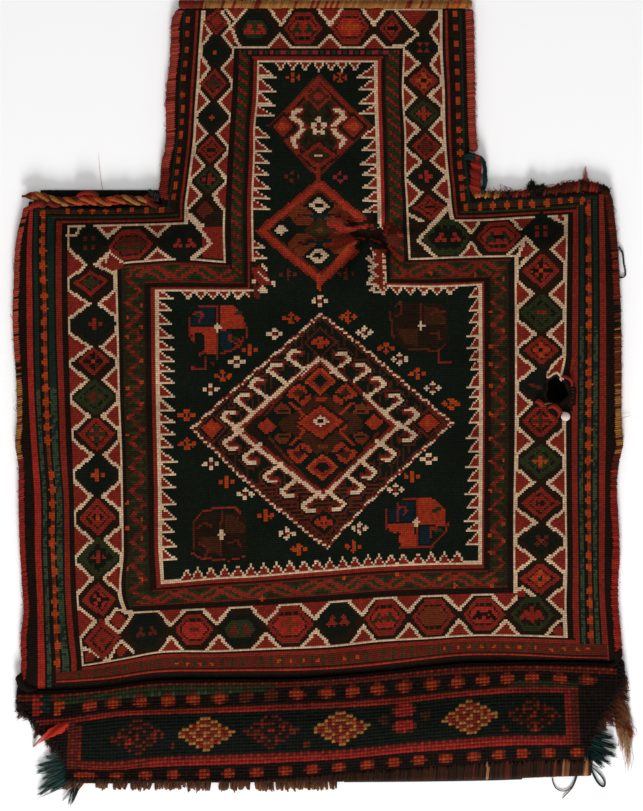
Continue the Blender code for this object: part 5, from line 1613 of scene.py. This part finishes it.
hairLooks = {
    "fibreScale": 2200.0, "patchScale": 200.0, "threadShade": .0, "stitchVary": .0, "fibreVary": .35,
    "patchVary": .2, "fibreLift": 1.0, "bump": .3, "bumpDepth": .0002, "roughness": .8, "sheen": .03,
}
tealFinish = yarnFinish("tealYarn", (8, 2), hairLooks)
hairFinish = yarnFinish("goatHair", (8, 2), hairLooks | {"roughness": .6})
fuzz = {"each": 34, "steps": 9, "rootSpread": .05, "short": .7, "tipSpread": 1.1, "bow": 1.2, "wave": .35,
        "waves": 1.5, "heights": (.0006, .0040), "tipHeight": .0030, "radius": .00030, "taper": .6,
        "dyes": ("tealWool", "tealTip")}
locks("teal_tuft_left", [(66, 757), (70, 764), (69, 774), (73, 783)],
      [(45, 756), (37, 765), (35, 773), (41, 780), (38, 789), (36, 797), (50, 792), (62, 782)], fuzz,
      tealFinish, 41, "teal_tassel_left")
locks("teal_tuft_right", [(588, 728), (582, 738), (584, 750), (590, 758)],
      [(605, 729), (614, 738), (618, 748), (617, 757), (612, 765), (604, 767), (596, 760), (607, 755)],
      fuzz | {"dyes": ("tealWool", "teal"), "each": 42}, tealFinish, 42, "teal_tassel_right")
brownFuzz = fuzz | {"dyes": ("hair", "soil"), "wave": .9, "waves": 2.0, "radius": .00022, "each": 40,
                    "short": .45}
locks("teal_threads_left", [(71, 786), (76, 788), (79, 787)], [(60, 803), (67, 808), (69, 808), (72, 802)],
      fuzz | {"each": 5, "dyes": ("teal", "tealTip"), "radius": .00030, "heights": (.0008, .0020),
              "tipSpread": .7, "bow": .6}, tealFinish, 49)
locks("hair_lock_left", [(22, 706), (30, 713), (42, 728), (52, 742)],
      [(15, 711), (17, 719), (24, 719), (32, 720), (34, 731), (34, 738), (43, 733), (52, 748), (58, 752)],
      brownFuzz, hairFinish, 43, "hair_tuft_left")
locks("hair_lock_right", [(622, 672), (616, 690), (606, 706), (598, 720), (590, 735)],
      [(627, 684), (629, 692), (630, 700), (629, 712), (624, 718), (614, 727), (606, 731), (598, 738),
       (594, 748)],
      brownFuzz | {"each": 66, "wave": 1.4, "bow": 2.0}, hairFinish, 44, "hair_tuft_right")
tanWisp = fuzz | {"dyes": ("soil", "tan"), "each": 30, "wave": 1.3, "waves": 2.2, "radius": .0002,
                  "short": .45, "rootSpread": .2, "sweep": -2.5, "tipSpread": 1.6, "rootJitter": 2.2,
                  "blendPower": 1.0}
locks("tan_wisp_right", [(617, 700), (618, 712), (616, 722)],
      [(627, 716), (632, 727), (627, 735), (633, 738), (624, 742), (622, 750)], tanWisp | {"each": 44},
      hairFinish, 45)
locks("pale_wisp_right", [(619, 726), (625, 734)],
      [(622, 750), (628, 758), (626, 766), (629, 776), (621, 742)],
      tanWisp | {"dyes": ("tan", "ivory"), "each": 22, "wave": 1.2, "radius": .00016}, hairFinish,
      55)
locks("flame_wisp_right", [(622, 724), (625, 729)], [(633, 736), (631, 741)],
      tanWisp | {"dyes": ("soil", "flame"), "each": 26, "short": .7}, hairFinish, 46)
locks("black_fuzz_right", [(618, 664), (614, 690), (600, 712), (592, 730), (584, 745)],
      [(624, 672), (625, 680), (622, 692), (614, 700), (608, 712), (600, 722), (598, 730), (592, 742),
       (588, 752)],
      brownFuzz | {"dyes": ("black", "hair"), "each": 60, "heights": (.002, .0075), "short": .3}, hairFinish,
      47)
locks("black_fuzz_left", [(20, 696), (24, 712), (42, 726), (58, 744), (66, 760)],
      [(15, 702), (18, 712), (28, 718), (36, 728), (44, 740), (47, 747), (51, 754), (58, 760), (64, 768)],
      brownFuzz | {"dyes": ("black", "hair"), "each": 66, "heights": (.002, .0070), "short": .3}, hairFinish,
      48)

# Warp ends below the left of the foot: clumps of brown strands, cut blunt
clumps = [(63, 78, 790), (96, 107, 789.5), (114, 126, 790), (131, 150, 790.5), (156, 185, 790),
          (186, 210, 791), (219, 250, 790.5), (255, 274, 790.5), (276, 303, 790), (305, 337, 789.5)]
rng = np.random.default_rng(51)
ends = [(left + (right - left) * (k + .5) / n + rng.normal(0, .7), foot - abs(rng.normal(0, 1.3)))
        for left, right, foot in clumps for n in [max(5, int((right - left) / 2.4))] for k in range(n)]
rootsAt = [(column + rng.normal(0, .8), 778.0) for column, _ in ends]
warpLook = fuzz | {"each": 12, "steps": 7, "rootSpread": .0, "tipSpread": .9, "bow": .3, "wave": .12,
                   "short": .9, "heights": (.0004, .0028), "tipHeight": .0020, "radius": .00050, "taper": .1,
                   "dyes": ("hair", "clump"), "blendPower": 1.2, "rootJitter": .8}
locks("warp_ends", rootsAt, ends, warpLook, hairFinish, 52, "warp_fringe")


# FOOT OVERCASTING
# Each stitch climbs from the ground over the foot's edge on to the pile: place = foot + reach * s upwards,
# height = a quarter round from the ground to the pile's top
def overcast(name, node, columns, footRows, reachRows, dyeOf, seed):
    draws = np.random.default_rng(seed)
    columns = columns + draws.normal(0, .25, len(columns))
    s = np.linspace(0, 1, 9)[None, :]
    foot = stations(columns, footRows)[:, None]
    reach = (stations(columns, reachRows) * draws.uniform(.8, 1.12, len(columns)))[:, None]
    rise = np.sin(np.minimum(s / .35, 1) * math.pi / 2)
    out = 1 - np.cos(np.minimum(s / .35, 1) * math.pi / 2)
    row = foot - reach * (.12 * out + .88 * np.maximum(s - .3, 0) / .7)
    lean = draws.normal(1.4, .7, (len(columns), 1)) * s
    x, y = toX(columns[:, None] + lean), toY(row)
    over = underside(x, y) + swell["thick"] + band["pile"] + .0004
    height = .0004 + rise * (over - .0004)
    height[:, -1] -= .0010
    radii = np.full(height.shape, .00058) * draws.uniform(.8, 1.2, (len(columns), 1))
    tones = dyeTable[dyeOf(columns, draws)][:, None] * draws.normal(1, .12, (len(columns), 1, 1)).clip(.6, 1.4)
    made = strands(name, np.stack([x, y, height], -1), radii, tones * np.ones((1, 9, 1)), 6, cordFinish)
    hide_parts(node)


def footDyes(columns, draws):
    kind = draws.choice([dyeNames.index(dye) for dye in ("hair", "hair", "hair", "umber", "sepia", "black")],
                        len(columns))
    marks = [(485, 487.5, "tan"), (504, 509, "dull"), (553, 555, "soil"), (561, 563.5, "tan"),
             (563.5, 568, "clump"), (581.5, 583, "clump"), (583, 586.5, "tan"), (586.5, 588, "clump"),
             (471, 473, "dull"), (424, 434, "sepia")]
    for left, right, dye in marks:
        kind = np.where((columns > left) & (columns < right), dyeNames.index(dye), kind)
    return kind


overcast("foot_overcasting", "foot_binding", np.arange(66, 590, .72),
         [(60, 782), (330, 781), (380, 780.6), (440, 780), (500, 778.4), (540, 776.6), (590, 775)],
         [(60, 4.0), (300, 5), (345, 9), (400, 13), (470, 17), (520, 18), (590, 16)], footDyes, 61)
footLine = np.linspace(344, 522, 40)
tealEdge = np.stack([toX(footLine),
                     toY(stations(footLine, [(344, 781.4), (440, 780.6), (500, 779.4), (522, 778.6)])),
                     np.full(40, .0011)], -1)[None]
strands("teal_edge_yarn", tealEdge, np.full((1, 40), .0006),
        np.tile(dyeTable[dyeNames.index("tealWool")], (1, 40, 1)), 7, tealFinish)


# SHOULDER BRAID
# Yarns plaited round one another: y = middle + reach cos(turn), z = middle + rise sin(turn). The yarns of a
# dye are half a turn apart, and the red ones a quarter turn behind the gold.
braid = {"columns": (22.0, 158.5), "turn": 29.0, "reach": 2.2, "rise": .0012, "radius": .0016,
         "middle": [(22, 196.4), (36, 196.2), (46, 198.6), (56, 201.4), (70, 201.8), (90, 200.4), (104, 202),
                    (120, 199.6), (138, 201), (158, 200.4)]}


def plait(name, phases, dyeOf, reach, radius, sides, seed, finish):
    draws = np.random.default_rng(seed)
    columns = np.linspace(*braid["columns"], 230)
    s = (columns - columns[0]) / (columns[-1] - columns[0])
    turn = tau * (columns - columns[0]) / braid["turn"] + np.array(phases)[:, None]
    ease = np.clip(np.minimum(s, 1 - s) * 12, .25, 1)
    row = stations(columns, braid["middle"]) - reach * np.cos(turn) * ease
    height = .0046 + braid["rise"] * np.sin(turn) * ease
    lines = np.stack([np.broadcast_to(toX(columns), turn.shape), toY(row), height], -1)
    radii = radius * ease * (1 + .12 * np.sin(turn * 2 + 1)) * np.ones(turn.shape)
    tones = dyeOf(columns, turn, draws)
    return strands(name, lines, radii, tones, sides, finish)


def goldLoops(columns, turn, draws):
    which = (turn / tau + .25).astype(int)
    gold, amber, rust = (dyeTable[dyeNames.index(dye)] for dye in ("gold", "amber", "rust"))
    share = draws.random(40)[which % 40][..., None]
    tone = gold + (amber - gold) * (share > .55)
    ends = ((columns < 32) | (columns > 147))[None, :, None]
    tone = np.where(ends, rust, tone)
    # painted shade: fine bands of light and dark along the gold yarns stand in for the shading of their
    # twisted plies
    stripes = 1 + .18 * np.sin(columns * 2.6)[None, :, None]
    return tone * stripes


def redYarn(columns, turn, draws):
    red, dull = (dyeTable[dyeNames.index(dye)] for dye in ("bright", "dull"))
    strong = ((np.abs(columns - 38) < 10) | (np.abs(columns - 88) < 9) | (np.abs(columns - 113) < 7)
              | (columns > 145))[None, :, None]
    return np.where(strong, red, dull) * np.ones(turn.shape + (1,))


braidGold = plait("braid_gold", [0.0, math.pi], goldLoops, braid["reach"], braid["radius"], 16, 71,
                  goldFinish)
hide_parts("shoulder_braid_left")
plait("braid_red", [math.pi / 2, 3 * math.pi / 2], redYarn, 3.4, .0010, 10, 72, cordFinish)
locks("braid_end", [(150, 190), (156, 194), (158, 202)], [(152, 200), (158, 206), (161, 196), (150, 196)],
      brownFuzz | {"each": 30, "dyes": ("tealWool", "madder"), "heights": (.002, .0060), "radius": .0003},
      tealFinish, 73)


# THE WRAP AT THE NECK'S RIGHT FOOT
neckWrap = [
    # name, places (column, row), half width and half height, dyes by row, slot
    ("neck_wrap_red", [(476, 154.5), (476, 162), (475.5, 172), (475.2, 184), (474, 196)], .0036, .0033,
     [(900, "bright")], "red_wool", 81),
    ("neck_wrap_teal", [(479, 155.5), (483.5, 163), (485, 172), (484.6, 184), (482, 195)], .0016, .0028,
     [(900, "tealWool")], "blue_black_wool", 82),
]
for name, places, halfWide, halfTall, stretches, slot, seed in neckWrap:
    route = np.array(places, float)
    rows = np.linspace(route[0, 1], route[-1, 1], 24)
    path = np.stack([toX(stations(rows, [(row, column) for column, row in places])), toY(rows),
                     np.full(24, halfTall + .0002)], -1)
    made = wrappedCord(name, path, (1, 0, 0), halfWide, halfTall, wornWrap | {"ridge": .12, "lean": .8},
                       dyeByPlace(stretches, "row"), cordFinish, seed)
    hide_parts("neck_wrap_right")
locks("neck_wrap_crown", [(464, 158), (468, 155), (474, 155)],
      [(478, 156), (480, 159), (481, 163), (476, 160)],
      brownFuzz | {"each": 36, "dyes": ("tealWool", "blue"), "heights": (.004, .0072), "tipHeight": .006,
                   "radius": .00034, "short": .6}, tealFinish, 83)


# LOOSE YARNS
# One yarn through its places (column, row, height in metres), thinning to its end
def looseYarn(name, places, radius, dye, finish, node=None, endDye=None, taper=.3, plies=1):
    route = np.array(places, float)
    s = np.linspace(0, len(route) - 1, 12 * (len(route) - 1) + 1)
    column, row, height = (stations(s, list(zip(range(len(route)), route[:, k]))) for k in range(3))
    twist = tau * s * 2.2 + np.arange(plies)[:, None] * tau / plies
    apart = radius * .9 if plies > 1 else 0.0
    x = toX(column) + apart * np.cos(twist)
    y = toY(row) + apart * np.cos(twist)
    z = height + apart * np.sin(twist)
    share = s / s[-1]
    radii = np.broadcast_to(radius * (1 - taper * share ** 3), x.shape) / (1 if plies == 1 else 1.4)
    first, last = (dyeTable[dyeNames.index(name)] for name in (dye, endDye or dye))
    tones = np.broadcast_to(first + (last - first) * share[:, None] ** 2, x.shape + (3,))
    made = strands(name, np.stack([x, y, z], -1), radii, tones * 1.0, 7, finish)
    if node:
        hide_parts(node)


looseYarn("teal_loop", [(588, 763, .0014), (591, 769, .0011), (594.5, 777, .0009), (599, 784, .0008),
                        (603.5, 786.5, .0008), (605, 783, .0008), (602, 777, .0009), (597, 771.5, .0010),
                        (591, 766, .0012)],
          .00068, "tealWool", tealFinish, "teal_loop_right", "tealTip")
looseYarn("thread_curl", [(552, 777.5, .0012), (553.5, 784, .0008), (557, 789, .0007), (563, 791, .0007),
                          (569, 789, .0010), (574, 784, .0020)], .00036, "hair", hairFinish,
          "thread_curl_right", "dull")
looseYarn("teal_end", [(577, 774, .0012), (574.5, 782, .0009), (571, 789, .0008), (563, 797.5, .0007)], .0006,
          "tealWool", tealFinish, None, "tealTip", plies=2)
looseYarn("side_loop", [(618.6, 247, .0010), (622.4, 253, .0009), (623.6, 263, .0008), (625.4, 274.5, .0008),
                        (622.5, 277.5, .0008), (618.8, 277.0, .0010)], .00045, "tealWool", tealFinish,
                        "side_thread_loop",
          "teal", plies=2)
looseYarn("pink_hair_left", [(103, 191, .0020), (101, 180, .0016), (99.5, 166, .0012), (98.5, 152, .0009)],
          .00014, "rag", hairFinish, None, "ragPale", taper=.8)
looseYarn("pink_hair_right", [(619, 420, .0020), (625, 417, .0014), (631, 415.5, .0010)], .0002, "ragPale",
          hairFinish, None, "ragPale", taper=.8)
locks("orange_spike", [(583, 187), (587, 186), (591, 187)], [(585.5, 166.5), (586.5, 171), (584, 174)],
      fuzz | {"each": 9, "dyes": ("flame", "ragPale"), "heights": (.0020, .0040), "tipHeight": .0012,
              "tipSpread": .5, "rootJitter": .8, "radius": .00026, "short": .8, "rootSpread": .02},
      hairFinish, 84, "shoulder_thread")
knotLook = brownFuzz | {"each": 26, "dyes": ("night", "black"), "radius": .00034, "short": .5, "wave": 1.2,
                        "heights": (.0015, .0052), "tipHeight": .0045}
locks("black_knot", [(529, 191), (536, 190), (544, 190)],
      [(529, 184), (532, 178), (534, 181), (528, 188), (537, 186), (543, 184), (546, 186), (541, 189),
       (535, 185)],
      knotLook, hairFinish, 85, "shoulder_knot_right")
locks("worn_shoulder", [(486, 195), (500, 194), (520, 194), (550, 190), (566, 186), (582, 185), (598, 187),
                        (609, 193)],
      [(487, 190), (497, 188), (503, 186), (511, 190), (521, 189), (552, 186), (560, 185), (567, 181),
       (574, 181), (583, 180), (590, 181), (597, 183), (603, 187), (610, 189)],
      brownFuzz | {"each": 16, "dyes": ("dull", "rust"), "heights": (.003, .0055), "tipHeight": .004,
                   "short": .3, "tipSpread": 2.2}, hairFinish, 86)

# Fuzz of short hairs down both sides and round the neck
draws = np.random.default_rng(91)
for edge, rows, side, dye, seed in (("left", (215, 680), -1, "dull", 92), ("right", (205, 655), 1, "dull", 93),
                                    ("neckLeft", (12, 186), -1, "madder", 94),
                                    ("neckRight", (12, 150), 1, "madder", 95)):
    at = np.sort(draws.uniform(*rows, 44))
    edgeColumns = stations(at, outline[edge])
    ends = [(c + side * abs(draws.normal(0, 1.1)), r + draws.normal(0, 2.5)) for c, r in zip(edgeColumns, at)]
    locks("edge_hairs_" + edge, [(c - side * 1.5, r) for c, r in zip(edgeColumns, at)], ends,
          brownFuzz | {"each": 4, "steps": 6, "rootSpread": .004, "dyes": (dye, "soil"),
                       "heights": (.002, .005), "tipHeight": .004, "radius": .00010, "short": .6,
                       "tipSpread": .7}, hairFinish, seed)

# Torn red rag over the left corner: a strip from the band's edge out to a pale pointed tip
ragPlaces = [(70, 723.5, .0140), (61, 727.5, .0140), (52, 732, .0125), (45, 737, .0085), (39, 741.5, .0045),
             (33, 747, .0016)]
ragHalf = [(0, 3.4), (1, 4.8), (2, 4.2), (3, 2.8), (4, 1.6), (5, .6)]
along = np.linspace(0, 5, 41)
over = np.linspace(-1, 1, 13)
column, row, height = (stations(along, list(zip(range(6), [place[k] for place in ragPlaces])))
                       for k in range(3))
slopeC, slopeR = np.gradient(column), np.gradient(row)
size = np.hypot(slopeC, slopeR)
half = stations(along, ragHalf) * (1 + .10 * np.sin(along * 7))
ragX = toX(column[None] - slopeR / size * half * over[:, None])
ragY = toY(row[None] + slopeC / size * half * over[:, None])
ragZ = height[None] + .0007 * np.sin(over[:, None] * 3.2 + along * 1.7) - .0005 * over[:, None] ** 2
ragTone = dyeTable[dyeNames.index("rag")] * np.ones(ragX.shape + (1,))
pale = easeIn((along - 2.6) / 2.0)[None, :, None] * .8
ragTone = ragTone + (dyeTable[dyeNames.index("ragPale")] - ragTone) * pale
ragCorner = np.stack([ragTone[1:, :-1], ragTone[1:, 1:], ragTone[:-1, 1:], ragTone[:-1, :-1]], -2)
ragFinish = yarnFinish("redRag", (60, 18), weaveLooks | {"bump": .4, "bumpDepth": .0003})
alongX, alongY = ragX[0, 1] - ragX[0, 0], ragY[0, 1] - ragY[0, 0]
overX, overY = ragX[1, 0] - ragX[0, 0], ragY[1, 0] - ragY[0, 0]
if alongX * overY > alongY * overX:
    ragX, ragY, ragZ, ragCorner = ragX[::-1], ragY[::-1], ragZ[::-1], ragCorner[::-1]
rag = sheetPiece("rag", np.ones((12, 40), bool), 1, ragX, ragY, ragZ, ragZ - .0005, ragCorner,
                 dyeTable[dyeNames.index("rag")], ragFinish)
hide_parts("rag_strip")

# Red yarn looped over the braid and round its end
for name, places, radius, dye in (
        ("braid_loop_top", [(78, 195.6), (82, 193.8), (88, 193.2), (94, 193.8), (98, 196.4)], .0011, "bright"),
        ("braid_loop_left", [(31, 206.5), (35, 205.2), (41, 204), (46, 205.6)], .0017, "bright"),
        ("braid_loop_foot", [(49, 203), (55, 205.6), (61, 205.4)], .0011, "madder"),
        ("braid_loop_right", [(146, 196.5), (148, 201), (152, 204.6), (158, 207)], .0010, "madder")):
    looseYarn(name, [(c, r, .0058) for c, r in places], radius, dye, cordFinish, None, "dull",
              plies=2)

# White cotton knot: turns of yarn wound on a small ball, with an end below
wind = np.linspace(0, 1, 200)
polar = math.pi * (.08 + .84 * wind)
cottonKnot = {"at": (.1673, .0472), "half": (.0026, .0024, .0018), "turns": 8, "yarn": .00062}
knotHeight = float(underside(toX(566.0), toY(416.0))) + swell["thick"] + .0018
tilt = tau * cottonKnot["turns"] * wind
ball = np.stack([np.sin(polar) * np.cos(tilt), np.cos(polar), np.sin(polar) * np.sin(tilt)], -1)
ball = np.array([*cottonKnot["at"], knotHeight]) + ball * cottonKnot["half"]
cottonFinish = yarnFinish("whiteCotton", (60, 2), cordLooks | {"roughness": .8, "patchVary": .05})
cotton = dyeTable[dyeNames.index("cotton")]
knot = strands("cotton_knot", ball[None], np.full((1, 200), cottonKnot["yarn"]), np.tile(cotton, (1, 200, 1)),
               8, cottonFinish)
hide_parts("mend_knot")


# Black wool packed into both ends of the groove above the knotted band
for name, places in (("groove_wool_left", [(19, 676), (22, 684), (28, 689), (36, 690)]),
                     ("groove_wool_right", [(618, 652), (618, 659), (615, 664), (609, 665)])):
    raised = [(c, r, float(underside(toX(c), toY(r))) + .0022) for c, r in places]
    looseYarn(name, raised, .0017, "black", cordFinish, None, "black", taper=.8, plies=3)

# Torn ends round the hole: two curled red ends, a pale yarn across the foot of it, and brown fuzz
holeHeight = float(underside(toX(560.0), toY(390.0))) + swell["thick"]
tornEnds = [
    ("torn_end_upper", [(561, 376.5), (565, 377), (569, 379), (571.5, 382), (571.5, 386)], .0007, "pink",
     "bright"),
    ("torn_end_lower", [(549, 407), (553, 406), (557, 408.5), (559.5, 412), (558, 417)], .0010, "bright",
     "madder"),
    ("torn_end_left", [(536, 401), (540, 402.5), (543, 406)], .0009, "bright", "ember"),
    ("pale_yarn", [(542, 405), (547, 403.6), (553, 403)], .0004, "tan", "sepia"),
]
for name, places, radius, first, last in tornEnds:
    curl = [(c, r, holeHeight + .0004 + .0012 * math.sin(math.pi * k / (len(places) - 1)))
            for k, (c, r) in enumerate(places)]
    looseYarn(name, curl, radius, first, cordFinish, None, last, taper=.4, plies=2)
holeFuzz = brownFuzz | {"each": 12, "heights": (holeHeight - .004, holeHeight + .0006), "tipHeight": .0002,
                        "short": .35, "radius": .00018, "tipSpread": 1.5, "rootSpread": .04, "wave": .8}


def rimFuzz(name, roots, tips, dyesOf, seed):
    made = locks(name, roots, tips, holeFuzz | {"dyes": dyesOf}, hairFinish, seed)
    points = np.empty(len(made.data.vertices) * 3)
    made.data.vertices.foreach_get("co", points)
    points = points.reshape(-1, 3)
    points[:, 2] = np.maximum(points[:, 2], holeHeight - .003)
    made.data.vertices.foreach_set("co", points.ravel())


rimFuzz("hole_fuzz_right", [(572, 384), (573, 391), (572, 400), (568, 408)],
        [(564, 386), (561, 390), (562, 395), (565, 399), (567, 402), (563, 392), (566, 395)], ("soil", "tan"),
        96)
rimFuzz("hole_fuzz_dark", [(545, 378), (543, 390), (547, 402), (556, 409), (566, 409)],
        [(551, 382), (549, 388), (550, 394), (552, 399), (556, 402), (561, 402), (555, 380), (560, 383)],
        ("black", "hair"), 97)

# THE BACK PANEL
# Plain weave in the front's outline, with a paler weft band now and then
back = {
    "cells": (150, 190),
    "columns": (24, 612),
    "rows": (5.4, 770),
    "shoulder": (186.5, 190,
                 208),  # drawing row and seen row of the straight edge, row where it meets the wefts
    "low": .0003,
    "high": .0018,
    "worn": {
        "left": [(180, 44), (194, 42), (202, 21), (690, 21), (706, 26), (715, 38), (728, 50), (742, 62),
                 (755, 70), (775, 74)],
        "right": [(180, 480), (200, 616), (640, 616), (690, 616), (705, 604), (722, 594), (742, 586),
                  (760, 578), (775, 574)],
    },
}
backC, backR = np.meshgrid(np.linspace(*back["columns"], back["cells"][0] + 1),
                           np.linspace(*back["rows"], back["cells"][1] + 1))
seenC, seenR = layOut(backC, np.clip(backR, front["mouthRow"], front["grooveRow"]))
footRow = stations(seenC, [(20, 778), (440, 777.5), (520, 775), (600, 772.5)])
pastGroove = np.maximum(backR - front["grooveRow"], 0)
seenR = seenR + pastGroove * (footRow - seenR) / (back["rows"][1] - front["grooveRow"])
shoulderTop, straightRow, shoulderFoot = back["shoulder"]
onShoulder = (backC < 166) & (backR < shoulderFoot)
joined = layOut(backC, np.full(backC.shape, float(shoulderFoot)))[1]
climb = (backR - shoulderTop) * (joined - straightRow) / (shoulderFoot - shoulderTop)
seenR = np.where(onShoulder, straightRow + climb, seenR)
X, Y = toX(seenC), toY(seenR)
middleC, middleR = (backC[1:, 1:] + backC[:-1, :-1]) / 2, (backR[1:, 1:] + backR[:-1, :-1]) / 2
threadWeave = .00012 * np.where((np.add.outer(np.arange(X.shape[0]), np.arange(X.shape[1])) % 2) == 0, 1, -1)
inBody = (middleR > 201.5) | ((middleR > 187) & (middleC > 44) & (middleC < 200)) | ((middleR > 195)
    & (middleC < 60))
woven = inBody | ((middleC > 166) & (middleC < 469))
wornLeft, wornRight = np.array(back["worn"]["left"]).T, np.array(back["worn"]["right"]).T
woven &= (middleC > np.interp(middleR, *wornLeft)) & (middleC < np.interp(middleR, *wornRight))
backDye = np.full(middleR.shape, dyeNames.index("night"))
backDye[(np.abs((middleR % 96) - 48) < 5)] = dyeNames.index("umber")
backDye[(np.abs((middleR % 96) - 48) < 1.6)] = dyeNames.index("dull")
backTone = np.repeat((dyeTable[backDye] * grains.normal(1, .12, middleR.shape).clip(.6, 1.4)[..., None])[:, :,
    None], 4, 2)
backLooks = weaveLooks | {"patchVary": .3, "bump": .7}
backFinish = yarnFinish("plainWeave", (300, 380), backLooks)
backWeave = sheetPiece("back_weave", woven, 1, X, Y, back["high"] + threadWeave, back["low"] + threadWeave,
                       backTone, dyeTable[dyeNames.index("night")], backFinish)
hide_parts("back_panel")


# CAMERA, FLOOR AND LIGHT
view = {"middle": (0.0017, 0.05474), "tall": 0.55148, "height": 6.0, "sensor": 36.0}
studioLooks = {
    "floorHalf": 3.0,
    "paper": (0.93, 0.92, 0.92, 1),
    "paperRoughness": 0.9,
    "sky": 0.62,
    "lampWide": 0.8,
    "lampWatts": 70.0,
    "lampAt": (0.05, -2.1, 0.95),
    "lampAim": (0, 0.05, 0),
}
lens = bpy.data.cameras.new("camera")
lens.sensor_width = view["sensor"]
lens.lens = view["sensor"] * view["height"] / view["tall"]
camera = bpy.data.objects.new("camera", lens)
camera.location = (view["middle"][0], view["middle"][1], view["height"])
bpy.context.scene.collection.objects.link(camera)
bpy.context.scene.camera = camera

ground = bpy.data.meshes.new("floor")
half = studioLooks["floorHalf"]
ground.from_pydata([(-half, -half, 0), (half, -half, 0), (half, half, 0), (-half, half, 0)], [],
                   [(0, 1, 2, 3)])
floor = bpy.data.objects.new("floor", ground)
paper = bpy.data.materials.new("paper")
paper.use_nodes = True
paper.node_tree.nodes["Principled BSDF"].inputs["Base Color"].default_value = studioLooks["paper"]
paper.node_tree.nodes["Principled BSDF"].inputs["Roughness"].default_value = studioLooks["paperRoughness"]
ground.materials.append(paper)
bpy.context.scene.collection.objects.link(floor)

sky = bpy.data.worlds.new("studio")
sky.use_nodes = True
sky.node_tree.nodes["Background"].inputs["Color"].default_value = (1, 1, 1, 1)
sky.node_tree.nodes["Background"].inputs["Strength"].default_value = studioLooks["sky"]
bpy.context.scene.world = sky
bpy.context.scene.view_settings.view_transform = "Standard"
lamp = bpy.data.lights.new("softbox", "AREA")
lamp.shape = "DISK"
lamp.size = studioLooks["lampWide"]
lamp.energy = studioLooks["lampWatts"]
softbox = bpy.data.objects.new("softbox", lamp)
softbox.location = studioLooks["lampAt"]
softbox.rotation_euler = (Vector(studioLooks["lampAim"]) - softbox.location).to_track_quat("-Z",
    "Y").to_euler()
bpy.context.scene.collection.objects.link(softbox)
